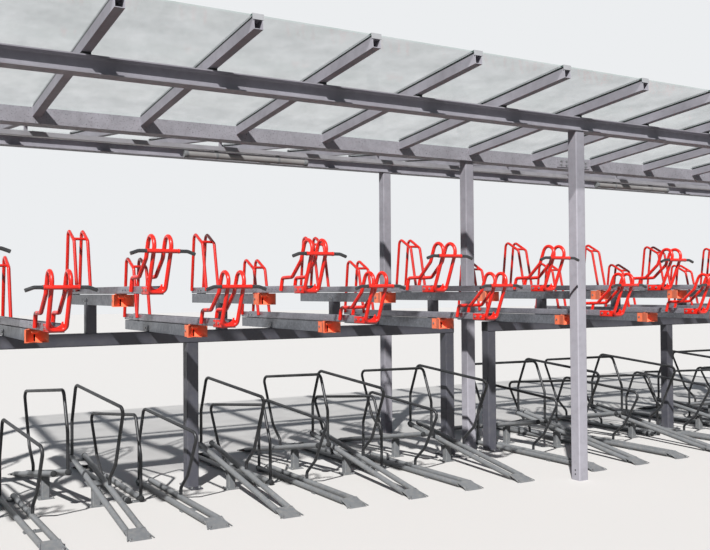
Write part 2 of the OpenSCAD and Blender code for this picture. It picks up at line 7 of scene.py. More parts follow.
import json
import logging
import math
from collections.abc import Callable, Iterable, Sequence
from dataclasses import dataclass, field
from enum import Enum
from typing import Any

import bmesh
import bpy
from mathutils import Matrix, Vector

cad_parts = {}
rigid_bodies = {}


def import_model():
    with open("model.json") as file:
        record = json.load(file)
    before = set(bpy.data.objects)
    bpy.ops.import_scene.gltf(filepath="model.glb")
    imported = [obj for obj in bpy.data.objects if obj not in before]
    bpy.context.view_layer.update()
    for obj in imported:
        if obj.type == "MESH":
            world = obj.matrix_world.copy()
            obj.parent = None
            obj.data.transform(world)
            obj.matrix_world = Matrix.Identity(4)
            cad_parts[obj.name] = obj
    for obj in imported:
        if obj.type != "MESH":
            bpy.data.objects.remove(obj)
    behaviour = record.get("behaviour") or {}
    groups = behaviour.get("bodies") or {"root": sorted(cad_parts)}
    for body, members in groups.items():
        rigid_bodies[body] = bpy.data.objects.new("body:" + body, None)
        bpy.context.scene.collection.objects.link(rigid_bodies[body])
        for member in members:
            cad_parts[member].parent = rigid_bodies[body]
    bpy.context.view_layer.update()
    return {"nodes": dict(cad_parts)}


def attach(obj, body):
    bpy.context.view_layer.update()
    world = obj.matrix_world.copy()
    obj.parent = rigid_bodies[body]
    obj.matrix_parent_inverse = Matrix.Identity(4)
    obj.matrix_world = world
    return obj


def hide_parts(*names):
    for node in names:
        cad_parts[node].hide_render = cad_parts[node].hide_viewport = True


LOG = logging.getLogger("bike_shelter")
MM = 0.001
# Two places of a mesh that lie closer than this count as one.
NEAR = 1e-4
# How closely small turned pieces shade as one, in degrees: low, so that their edges stay crisp.
CRISP = 20.0
# Noise values crowd round a half, so a ramp over noise runs between these two.
NOISE_LOW, NOISE_HIGH = 0.3, 0.7
# A Mix node has several sockets of each name, so those for colours are known by their numbers.
MIX_FACTOR, MIX_FIRST, MIX_SECOND, MIX_RESULT = 0, 6, 7, 2

Pair = tuple[float, float]
Point = tuple[float, float, float]
Colour = tuple[float, float, float, float]
Piece = bpy.types.Object
Tree = bpy.types.NodeTree


# ---------------------------------------------------------------------------------------------
# Colours, nodes and finishes
# ---------------------------------------------------------------------------------------------


def linear(hex_colour: str) -> Colour:
    """Turn an sRGB colour into the linear one that the shaders read.

    Args:
        hex_colour: The colour as "#rrggbb".

    Returns:
        The colour in linear light.
    """
    channels = [int(hex_colour[i : i + 2], 16) / 255 for i in (1, 3, 5)]
    return (*(c / 12.92 if c <= 0.04045 else ((c + 0.055) / 1.055) ** 2.4 for c in channels), 1.0)


def grey(value: float) -> Colour:
    """Give a plain number as the grey that a colour ramp can hold."""
    return (value, value, value, 1.0)


def per_metre(size_mm: float) -> float:
    """Give the scale of a pattern whose features are size_mm across."""
    return 1000 / size_mm


def add_node(tree: Tree, kind: str, inputs: dict[Any, Any] | None = None,
             stops: Sequence[tuple[float, Colour]] = (), **settings: Any) -> Any:
    """Add one node to a tree.

    Args:
        tree: The node tree.
        kind: The node's type name.
        inputs: Values for its inputs, by name or number; a socket is linked instead of copied.
        stops: For a colour ramp, the place and the colour of its two stops.
        **settings: The node's own settings.

    Returns:
        The new node.
    """
    node = tree.nodes.new(kind)
    for key, value in settings.items():
        setattr(node, key, value)
    for key, value in (inputs or {}).items():
        if isinstance(value, bpy.types.NodeSocket):
            tree.links.new(value, node.inputs[key])
        else:
            node.inputs[key].default_value = value
    if stops:
        for element, (place, colour) in zip(node.color_ramp.elements, stops):
            element.position = place
            element.color = colour
    return node


@dataclass(frozen=True)
class Finish:
    """A finish that every surface shares: a colour that drifts, grime, and a fine relief."""

    name: str
    colour: str
    shade: str
    grime: str
    roughness: float = 0.5
    roughness_drift: float = 0.1
    metallic: float = 0.0
    coat: float = 0.0
    specular: float = 0.5
    drift_mm: float = 420.0
    grime_mm: float = 60.0
    grime_edge: Pair = (0.45, 0.75)
    grime_breakup: float = 0.65
    grime_amount: float = 0.25
    grain_mm: float = 2.5
    relief_mm: float = 0.05
    relief_strength: float = 0.6
    streaks: Point = (1.0, 1.0, 1.0)

    def pattern(self, tree: Tree, position: Any) -> Any:
        """Let the colour drift; a finish with its own pattern replaces this.

        Args:
            tree: The material's nodes.
            position: The socket that gives the place on the piece.

        Returns:
            The socket of the colour before grime.
        """
        drift = add_node(tree, "ShaderNodeTexNoise", {
            "Vector": position, "Scale": per_metre(self.drift_mm), "Detail": 3.0
        })
        return add_node(tree, "ShaderNodeValToRGB", {"Fac": drift.outputs["Fac"]}, stops=[
            (NOISE_LOW, linear(self.shade)), (NOISE_HIGH, linear(self.colour))
        ]).outputs["Color"]

    def finish_shader(self, tree: Tree, shader: Any, position: Any) -> None:
        """Add what only this finish has to its shader."""

    def build(self) -> bpy.types.Material:
        """Make the material, or give the one that is already made.

        Returns:
            The material.
        """
        if self.name in bpy.data.materials:
            return bpy.data.materials[self.name]
        material = bpy.data.materials.new(self.name)
        material.use_nodes = True
        tree = material.node_tree
        shader = tree.nodes["Principled BSDF"]
        where = add_node(tree, "ShaderNodeTexCoord")
        position = add_node(tree, "ShaderNodeMapping", {
            "Vector": where.outputs["Object"], "Scale": self.streaks
        }).outputs["Vector"]
        grime = add_node(tree, "ShaderNodeTexNoise", {
            "Vector": position, "Scale": per_metre(self.grime_mm), "Detail": 6.0,
            "Roughness": self.grime_breakup
        }).outputs["Fac"]
        clean_to, full_from = self.grime_edge
        amount = add_node(tree, "ShaderNodeValToRGB", {"Fac": grime}, stops=[
            (clean_to, grey(0.0)), (full_from, grey(self.grime_amount))
        ])
        mixed = add_node(tree, "ShaderNodeMix", {
            MIX_FACTOR: amount.outputs["Color"], MIX_FIRST: self.pattern(tree, position),
            MIX_SECOND: linear(self.grime)
        }, data_type="RGBA")
        tree.links.new(mixed.outputs[MIX_RESULT], shader.inputs["Base Color"])
        smoothest = max(self.roughness - self.roughness_drift, 0.02)
        rough = add_node(tree, "ShaderNodeValToRGB", {"Fac": grime}, stops=[
            (NOISE_LOW, grey(smoothest)), (NOISE_HIGH, grey(self.roughness + self.roughness_drift))
        ])
        tree.links.new(rough.outputs["Color"], shader.inputs["Roughness"])
        shader.inputs["Metallic"].default_value = self.metallic
        shader.inputs["Coat Weight"].default_value = self.coat
        shader.inputs["Specular IOR Level"].default_value = self.specular
        grain = add_node(tree, "ShaderNodeTexNoise", {
            "Vector": position, "Scale": per_metre(self.grain_mm), "Detail": 2.0
        })
        bump = add_node(tree, "ShaderNodeBump", {
            "Height": grain.outputs["Fac"], "Distance": self.relief_mm * MM,
            "Strength": self.relief_strength
        })
        tree.links.new(bump.outputs["Normal"], shader.inputs["Normal"])
        self.finish_shader(tree, shader, position)
        return material


@dataclass(frozen=True)
class Galvanised(Finish):
    """Hot-dip zinc: flat crystals of slightly different grey, dulled by weather."""

    spangle_mm: float = 14.0
    spangle_edge: Pair = (0.2, 0.8)

    def pattern(self, tree: Tree, position: Any) -> Any:
        """Give each crystal its own grey.

        Args:
            tree: The material's nodes.
            position: The socket that gives the place on the piece.

        Returns:
            The socket of the colour before grime.
        """
        cells = add_node(tree, "ShaderNodeTexVoronoi", {
            "Vector": position, "Scale": per_metre(self.spangle_mm)
        })
        shade = add_node(tree, "ShaderNodeRGBToBW", {"Color": cells.outputs["Color"]})
        dark, light = self.spangle_edge
        return add_node(tree, "ShaderNodeValToRGB", {"Fac": shade.outputs["Val"]}, stops=[
            (dark, linear(self.shade)), (light, linear(self.colour))
        ]).outputs["Color"]


@dataclass(frozen=True)
class Speckled(Finish):
    """Painted zinc that rain has speckled with small dark spots."""

    spot_mm: float = 13.0
    spot_breakup: float = 0.6
    spot_edge: Pair = (0.58, 0.66)
    spot_amount: float = 0.8

    def pattern(self, tree: Tree, position: Any) -> Any:
        """Sprinkle spots over the drifting colour.

        Args:
            tree: The material's nodes.
            position: The socket that gives the place on the piece.

        Returns:
            The socket of the colour before grime.
        """
        spots = add_node(tree, "ShaderNodeTexNoise", {
            "Vector": position, "Scale": per_metre(self.spot_mm), "Detail": 3.0,
            "Roughness": self.spot_breakup
        })
        bare_to, full_from = self.spot_edge
        mask = add_node(tree, "ShaderNodeValToRGB", {"Fac": spots.outputs["Fac"]}, stops=[
            (bare_to, grey(0.0)), (full_from, grey(self.spot_amount))
        ])
        return add_node(tree, "ShaderNodeMix", {
            MIX_FACTOR: mask.outputs["Color"], MIX_FIRST: super().pattern(tree, position),
            MIX_SECOND: linear(self.grime)
        }, data_type="RGBA").outputs[MIX_RESULT]


@dataclass(frozen=True)
class Glazing(Finish):
    """Laminated float glass with a film of dust: clear, a little green, and thin to the light."""

    clear: float = 0.14
    dusty: float = 0.28
    film_mm: float = 260.0
    film_breakup: float = 0.7
    film_edge: Pair = (0.35, 0.75)

    def finish_shader(self, tree: Tree, shader: Any, position: Any) -> None:
        """Let the eye through, less where dust and dried rain lie.

        Args:
            tree: The material's nodes.
            shader: The material's shader.
            position: The socket that gives the place on the piece.
        """
        film = add_node(tree, "ShaderNodeTexNoise", {
            "Vector": position, "Scale": per_metre(self.film_mm), "Detail": 9.0,
            "Roughness": self.film_breakup
        })
        bare_to, full_from = self.film_edge
        alpha = add_node(tree, "ShaderNodeValToRGB", {"Fac": film.outputs["Fac"]}, stops=[
            (bare_to, grey(self.clear)), (full_from, grey(self.dusty))
        ])
        tree.links.new(alpha.outputs["Color"], shader.inputs["Alpha"])


class Palette(Enum):
    """Every finish on the shelter."""

    # Two-pack paint over galvanised steel, sprayed: even and satin, with soft grey rain marks.
    FRAME = Finish("satin_grey_paint", "#b0adb4", "#a4a1a8", "#757174", 0.55,
                   specular=0.2, grain_mm=3.0, relief_mm=0.04)
    # The gutter's sides take the splash of the roof, so their paint is freckled all over.
    GUTTER = Speckled("rain_freckled_paint", "#b0adb4", "#a5a2a8", "#5a5759", 0.55, specular=0.2)
    # EPDM profile, extruded: matt black with a pale bloom.
    RUBBER = Finish("extruded_epdm", "#232426", "#1b1c1e", "#45443f", 0.8, grain_mm=1.2,
                    grime_amount=0.3)
    # Laminated float glass: clear with a green tint, a glossy face and a thin veil of dust.
    GLASS = Glazing("laminated_glass", "#6a9c8b", "#5c8d7c", "#8f9d93", 0.06, 0.03, relief_mm=0.0,
                    grime_mm=180.0)
    # Anodised aluminium strip: matt silver with long faint drawing lines.
    COVER = Finish("anodised_aluminium", "#c6c6c8", "#b6b6b8", "#85827d", 0.36, metallic=0.6,
                   streaks=(1.0, 0.04, 1.0), grain_mm=1.5)
    # Coil-coated sheet, folded: a smooth, even light grey that is duller than the frame's paint.
    TRUNKING = Finish("grey_coil_coating", "#b0aeb2", "#a4a2a6", "#757270", 0.4)
    # Opal polycarbonate tube, extruded: smooth and milky, with patches of clinging dust; its mid grey
    # is painted shade, for the tube hangs unlit in the roof's shadow.
    LAMP = Finish("opal_polycarbonate", "#a8a5a3", "#9a9795", "#6f6a64", 0.25, grime_amount=0.35)
    # Anthracite powder coat: a fine even grain, dust in its hollows.
    RACK = Finish("anthracite_powder_coat", "#54545c", "#4a4a52", "#716f6c", 0.5, grain_mm=1.6,
                  relief_mm=0.08, grime_amount=0.35)
    # Strip-galvanised sheet, folded: a pale bluish silver with a fine even spangle and road dust.
    TRAY = Galvanised("galvanised_sheet", "#9b9aa2", "#8a8991", "#6c6968", 0.38, metallic=0.45,
                      spangle_mm=8.0, grime_amount=0.3)
    # Hot-dip galvanised channel: dull silver in flat crystals, dark where the sky isn't mirrored.
    TRACK = Galvanised("galvanised_track", "#85888e", "#74777d", "#4d4c4a", 0.42, metallic=0.5)
    # Nylon, injection moulded: a warm, even orange with a fine pebbled skin, scuffed brown.
    GUIDE = Finish("moulded_orange_nylon", "#fa8560", "#f0734c", "#b4523a", 0.42, grain_mm=5.0,
                   grime_amount=0.3)
    # Paint on steel tube that tyres have worn: a patchy mid grey with pale dust.
    RAIL = Finish("weathered_grey_paint", "#77797b", "#696b6d", "#9a968e", 0.5, grime_mm=35.0,
                  grime_amount=0.45)
    # Black powder coat, baked: a satin black with a fine grain and dust on its upper bends.
    GUARD = Finish("black_powder_coat", "#26272a", "#1e1f22", "#5a5853", 0.45, grain_mm=1.6,
                   relief_mm=0.08)
    # Red powder coat, baked: a deep signal red with a soft gloss that draws a line down each tube.
    RED = Finish("red_powder_coat", "#f2220e", "#e81a08", "#ad1a0c", 0.34, grain_mm=1.6,
                 relief_mm=0.06, coat=0.25, grime_amount=0.3)
    # Moulded lamp cap: a flat mid grey, a little darker than the tube that it closes.
    LAMP_END = Finish("grey_lamp_cap", "#8d8f90", "#808283", "#5b5a57", 0.4, grime_amount=0.3)
    # Moulded lever, polished by hands: a near black with a small sharp gleam.
    GRIP = Finish("smooth_lever_plastic", "#26272a", "#1e1f22", "#5c5a57", 0.3, coat=0.3,
                  grain_mm=1.5)
    # Zinc-plated steel: a small bright glint, greyed in its corners.
    ZINC = Finish("zinc_plated_bolt", "#b3b4b5", "#a0a1a2", "#6d6a64", 0.35, metallic=0.85,
                  grime_mm=12.0)

    def material(self) -> bpy.types.Material:
        """Give this finish's material."""
        return self.value.build()


NODE_FINISHES: dict[Palette, tuple[str, ...]] = {
    Palette.FRAME: ("front_columns", "middle_columns", "rear_columns", "front_beam", "rear_beam",
                    "front_rafters", "rear_rafters", "trunking_hangers"),
    Palette.GUTTER: ("gutter_beam", "gutter_splices"),
    Palette.RUBBER: ("rafter_packers", "glazing_gaskets"),
    Palette.GLASS: ("front_glass", "rear_glass"),
    Palette.COVER: ("cover_strips", "rafter_caps"),
    Palette.TRUNKING: ("cable_trunking",),
    Palette.LAMP: ("tube_lights",),
    Palette.RACK: ("rack_posts", "rack_beams", "stub_posts"),
    Palette.TRACK: ("low_tracks", "high_tracks"),
    Palette.GUIDE: ("track_guides",),
    Palette.RAIL: ("flat_rails", "raised_rails", "rail_posts"),
    Palette.GUARD: ("flat_rail_hoops", "raised_rail_hoops"),
}


def paint(piece: Piece, finish: Palette) -> None:
    """Give a whole piece one finish."""
    piece.data.materials.clear()
    piece.data.materials.append(finish.material())


# ---------------------------------------------------------------------------------------------
# Modelling by hand: primitives, edit mode and modifiers
# ---------------------------------------------------------------------------------------------


def deselect() -> None:
    """Leave nothing selected, so that an operator meets only what it is given."""
    bpy.ops.object.select_all(action="DESELECT")


def begin(name: str, primitive: Callable[..., Any], **placing: Any) -> Piece:
    """Add a primitive and open it in edit mode.

    Args:
        name: The piece's name.
        primitive: The operator that adds it.
        **placing: The operator's size and place.

    Returns:
        The new object, open in edit mode.
    """
    deselect()
    primitive(**placing)
    piece = bpy.context.object
    piece.name = name
    piece.data.name = name
    if "scale" in placing:
        bpy.ops.object.transform_apply(location=False, rotation=False, scale=True)
    bpy.ops.object.mode_set(mode="EDIT")
    return piece


def pick(piece: Piece, kind: str, test: Callable[[Any], bool]) -> None:
    """Select the faces or edges that pass a test, and nothing else.

    Args:
        piece: The object that is open in edit mode.
        kind: "faces" or "edges".
        test: Says whether a face or edge is wanted.
    """
    bpy.ops.mesh.select_mode(type=kind[:-1].upper())
    bpy.ops.mesh.select_all(action="DESELECT")
    mesh = bmesh.from_edit_mesh(piece.data)
    for element in getattr(mesh, kind):
        if test(element):
            element.select_set(True)
    mesh.select_flush_mode()
    bmesh.update_edit_mesh(piece.data)


def inset(*steps: Pair) -> None:
    """Inset the selected faces once for each (thickness, depth)."""
    for thickness, depth in steps:
        bpy.ops.mesh.inset(thickness=thickness, depth=depth)


def round_edges(radius: float, segments: int = 2) -> None:
    """Round the selected edges."""
    bpy.ops.mesh.bevel(offset=radius, segments=segments, affect="EDGES")


def is_cap(face: Any) -> bool:
    """Say whether a face closes the end of a round bar or tube."""
    return len(face.verts) > 4


def rims_cap(edge: Any) -> bool:
    """Say whether an edge runs round such an end face."""
    return any(is_cap(face) for face in edge.link_faces)


def looks_up(face: Any) -> bool:
    """Say whether a face of the open mesh looks along +Z."""
    return face.normal.z > 0.9


def middle(element: Any) -> Vector:
    """Give the middle of a face or edge in the open mesh."""
    return sum((v.co for v in element.verts), Vector()) / len(element.verts)


def runs_along(edge: Any, axis: str) -> bool:
    """Say whether an edge of the open mesh runs along "x", "y" or "z"."""
    way = edge.verts[0].co - edge.verts[1].co
    return all(abs(getattr(way, other)) < NEAR for other in "xyz" if other != axis)


def modify(piece: Piece, kind: str, **settings: Any) -> None:
    """Add a modifier to a piece and apply it at once.

    Args:
        piece: The piece, in object mode.
        kind: The modifier's type.
        **settings: The modifier's settings.
    """
    modifier = piece.modifiers.new(kind.lower(), kind)
    for key, value in settings.items():
        setattr(modifier, key, value)
    deselect()
    piece.select_set(True)
    bpy.context.view_layer.objects.active = piece
    bpy.ops.object.modifier_apply(modifier=modifier.name)


def close(piece: Piece, smooth: float = 35.0) -> Piece:
    """Leave edit mode and settle a piece: its place goes into its mesh, its curves are smooth.

    Args:
        piece: The piece, open in edit mode or not.
        smooth: The angle in degrees under which neighbouring faces shade as one.

    Returns:
        The same piece.
    """
    if bpy.context.mode != "OBJECT":
        bpy.ops.object.mode_set(mode="OBJECT")
    deselect()
    piece.select_set(True)
    bpy.context.view_layer.objects.active = piece
    bpy.ops.object.transform_apply(location=True, rotation=True, scale=True)
    bpy.ops.object.shade_smooth_by_angle(angle=math.radians(smooth))
    return piece


def joined(name: str, pieces: Sequence[Piece]) -> Piece:
    """Join finished pieces into one object.

    Args:
        name: The new name.
        pieces: The pieces, each settled with close().

    Returns:
        The one object that holds them all.
    """
    deselect()
    for piece in pieces:
        piece.select_set(True)
    bpy.context.view_layer.objects.active = pieces[0]
    if len(pieces) > 1:
        bpy.ops.object.join()
    pieces[0].name = pieces[0].data.name = name
    return pieces[0]


def copied(piece: Piece, name: str, move: Matrix | Vector) -> Piece:
    """Copy a finished piece, with its own mesh, to another place.

    Args:
        piece: The settled piece.
        name: The copy's name.
        move: Where the copy goes, as a matrix or as a shift.

    Returns:
        The copy.
    """
    mesh = piece.data.copy()
    mesh.transform(move if isinstance(move, Matrix) else Matrix.Translation(move))
    mesh.name = name
    twin = bpy.data.objects.new(name, mesh)
    bpy.context.scene.collection.objects.link(twin)
    return twin


def scattered(name: str, piece: Piece, moves: Iterable[Matrix]) -> Piece:
    """Set copies of a small piece at many places and join them; the pattern itself is removed.

    Args:
        name: The name of the joined object.
        piece: The settled pattern.
        moves: One matrix for each copy.

    Returns:
        The joined object.
    """
    copies = [copied(piece, f"{name}_{i}", move) for i, move in enumerate(moves)]
    bpy.data.objects.remove(piece)
    return joined(name, copies)


def plate(name: str, low: Point, high: Point, edge: float = 0.0008) -> Piece:
    """Cut a flat plate or block with eased edges.

    Args:
        name: The piece's name.
        low: Its lowest corner.
        high: Its highest corner.
        edge: The radius of its eased edges.

    Returns:
        The settled plate.
    """
    lowest, highest = Vector(low), Vector(high)
    piece = begin(name, bpy.ops.mesh.primitive_cube_add, size=1.0,
                  location=(lowest + highest) / 2, scale=highest - lowest)
    round_edges(edge)
    return close(piece)


def rod(name: str, start: Point, end: Point, radius: float, sides: int = 20,
        edge: float = 0.001) -> Piece:
    """Turn a round bar with eased ends.

    Args:
        name: The piece's name.
        start: The middle of one end.
        end: The middle of the other end.
        radius: The bar's radius.
        sides: How many sides stand for the circle.
        edge: The radius of the eased ends.

    Returns:
        The settled bar.
    """
    first, last = Vector(start), Vector(end)
    along = last - first
    piece = begin(name, bpy.ops.mesh.primitive_cylinder_add, vertices=sides, radius=radius,
                  depth=along.length, location=(first + last) / 2,
                  rotation=along.to_track_quat("Z", "Y").to_euler())
    pick(piece, "edges", rims_cap)
    round_edges(edge)
    return close(piece)


def bent_tube(name: str, points: Sequence[Point], bends: Sequence[float], radius: float,
              sides: int = 16, steps: int = 6) -> Piece:
    """Bend a round tube: a filled ring is drawn out along each run and spun round each bend.

    Args:
        name: The piece's name.
        points: The corners of the tube's axis.
        bends: The bend radius at each inner corner.
        radius: The tube's radius.
        sides: How many sides stand for the circle.
        steps: How many steps stand for a bend.

    Returns:
        The settled tube.
    """
    corners = [Vector(p) for p in points]
    ways = [(b - a).normalized() for a, b in zip(corners, corners[1:])]
    turns = [a.angle(b) for a, b in zip(ways, ways[1:])]
    trims = [0.0, *(bend * math.tan(turn / 2) for bend, turn in zip(bends, turns)), 0.0]
    piece = begin(name, bpy.ops.mesh.primitive_circle_add, vertices=sides, radius=radius,
                  fill_type="NGON", location=corners[0],
                  rotation=ways[0].to_track_quat("Z", "Y").to_euler())
    for i, way in enumerate(ways):
        run = (corners[i + 1] - corners[i]).length - trims[i] - trims[i + 1]
        bpy.ops.mesh.extrude_region_move(TRANSFORM_OT_translate={"value": way * run})
        if i < len(bends):
            axis = way.cross(ways[i + 1]).normalized()
            centre = corners[i + 1] - way * trims[i + 1] + axis.cross(way) * bends[i]
            # The spin operator turns against the right-hand rule, hence the minus.
            bpy.ops.mesh.spin(steps=steps, angle=-turns[i], center=centre, axis=axis)
    bpy.ops.mesh.select_all(action="SELECT")
    bpy.ops.mesh.remove_doubles(threshold=NEAR / 10)
    bpy.ops.mesh.normals_make_consistent(inside=False)
    pick(piece, "edges", rims_cap)
    round_edges(radius * 0.12, segments=1)
    return close(piece)


def bolt(name: str, across: float, washer: float = 1.15) -> Piece:
    """Forge a hexagon bolt head on its washer, standing on the origin along +Z.

    Args:
        name: The piece's name.
        across: The head's width across its corners.
        washer: The washer's diameter, in widths of the head.

    Returns:
        The settled bolt.
    """
    # The heights of the head and its washer follow the head's width, as on usual bolts.
    head_h = across * 0.36
    washer_h = across * 0.1
    head = begin(f"{name}_head", bpy.ops.mesh.primitive_cylinder_add, vertices=6, radius=across / 2,
                 depth=head_h, location=(0, 0, washer_h + head_h / 2))
    pick(head, "faces", looks_up)
    inset((across * 0.06, across * 0.04))
    close(head, smooth=CRISP)
    ring = begin(f"{name}_washer", bpy.ops.mesh.primitive_cylinder_add, vertices=16,
                 radius=across / 2 * washer, depth=washer_h, location=(0, 0, washer_h / 2))
    pick(ring, "faces", looks_up)
    inset((across * 0.03, across * 0.015))
    close(ring, smooth=CRISP)
    return joined(name, [head, ring])


def facing(place: Point, way: Point) -> Matrix:
    """Give the matrix that stands a +Z piece at a place, turned along a direction."""
    return Matrix.Translation(place) @ Vector(way).to_track_quat("Z", "Y").to_matrix().to_4x4()


def screw(name: str, radius: float) -> Piece:
    """Turn a low domed screw head with a socket, standing on the origin along +Z.

    Args:
        name: The piece's name.
        radius: The head's radius.

    Returns:
        The settled screw head.
    """
    head = begin(name, bpy.ops.mesh.primitive_cylinder_add, vertices=10, radius=radius,
                 depth=radius * 0.6, location=(0, 0, radius * 0.3))
    pick(head, "faces", looks_up)
    inset((radius * 0.3, radius * 0.12), (radius * 0.25, 0.0), (radius * 0.02, -radius * 0.3))
    return close(head, smooth=CRISP)


# ---------------------------------------------------------------------------------------------
# Upper trays
# ---------------------------------------------------------------------------------------------

# The front columns' middle line. The rear columns stand as far behind the gutter.
FRONT_Y = -1.5


@dataclass(frozen=True)
class Layout:
    """Where the repeated pieces of the rack stand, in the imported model's frame."""

    bay: float = 5.75
    pitch: float = 0.545
    per_bay: int = 10
    low_track_z: float = 1.285
    tier_step: float = 0.220
    track_h: float = 0.080
    tray_gap: float = 0.005
    low_shift: float = -0.060
    rail_shift: float = -0.020
    high_track_front: float = 0.700
    low_track_front: float = 0.560

    @property
    def count(self) -> int:
        """How many trays the shelter holds."""
        return 2 * self.per_bay

    def place_x(self, index: int) -> float:
        """Give the even place of a tray along the shelter, which the lower rails keep."""
        bay, place = divmod(index, self.per_bay)
        return (bay - 0.5) * self.bay + (place - (self.per_bay - 1) / 2) * self.pitch

    def tray_x(self, index: int) -> float:
        """Give the middle line of a tray."""
        return self.place_x(index) + (0.0 if index % 2 else self.low_shift)

    def track_front(self, index: int) -> float:
        """Give the front end of a tray's track, behind the front columns."""
        return self.high_track_front if index % 2 else self.low_track_front

    def track_z(self, index: int) -> float:
        """Give the underside of a tray's track."""
        return self.low_track_z + (self.tier_step if index % 2 else 0.0)

    def tray_place(self, index: int) -> Vector:
        """Give the point on the tray's underside from which its kit is measured."""
        height = self.track_z(index) + self.track_h + self.tray_gap
        return Vector((self.tray_x(index), FRONT_Y, height))


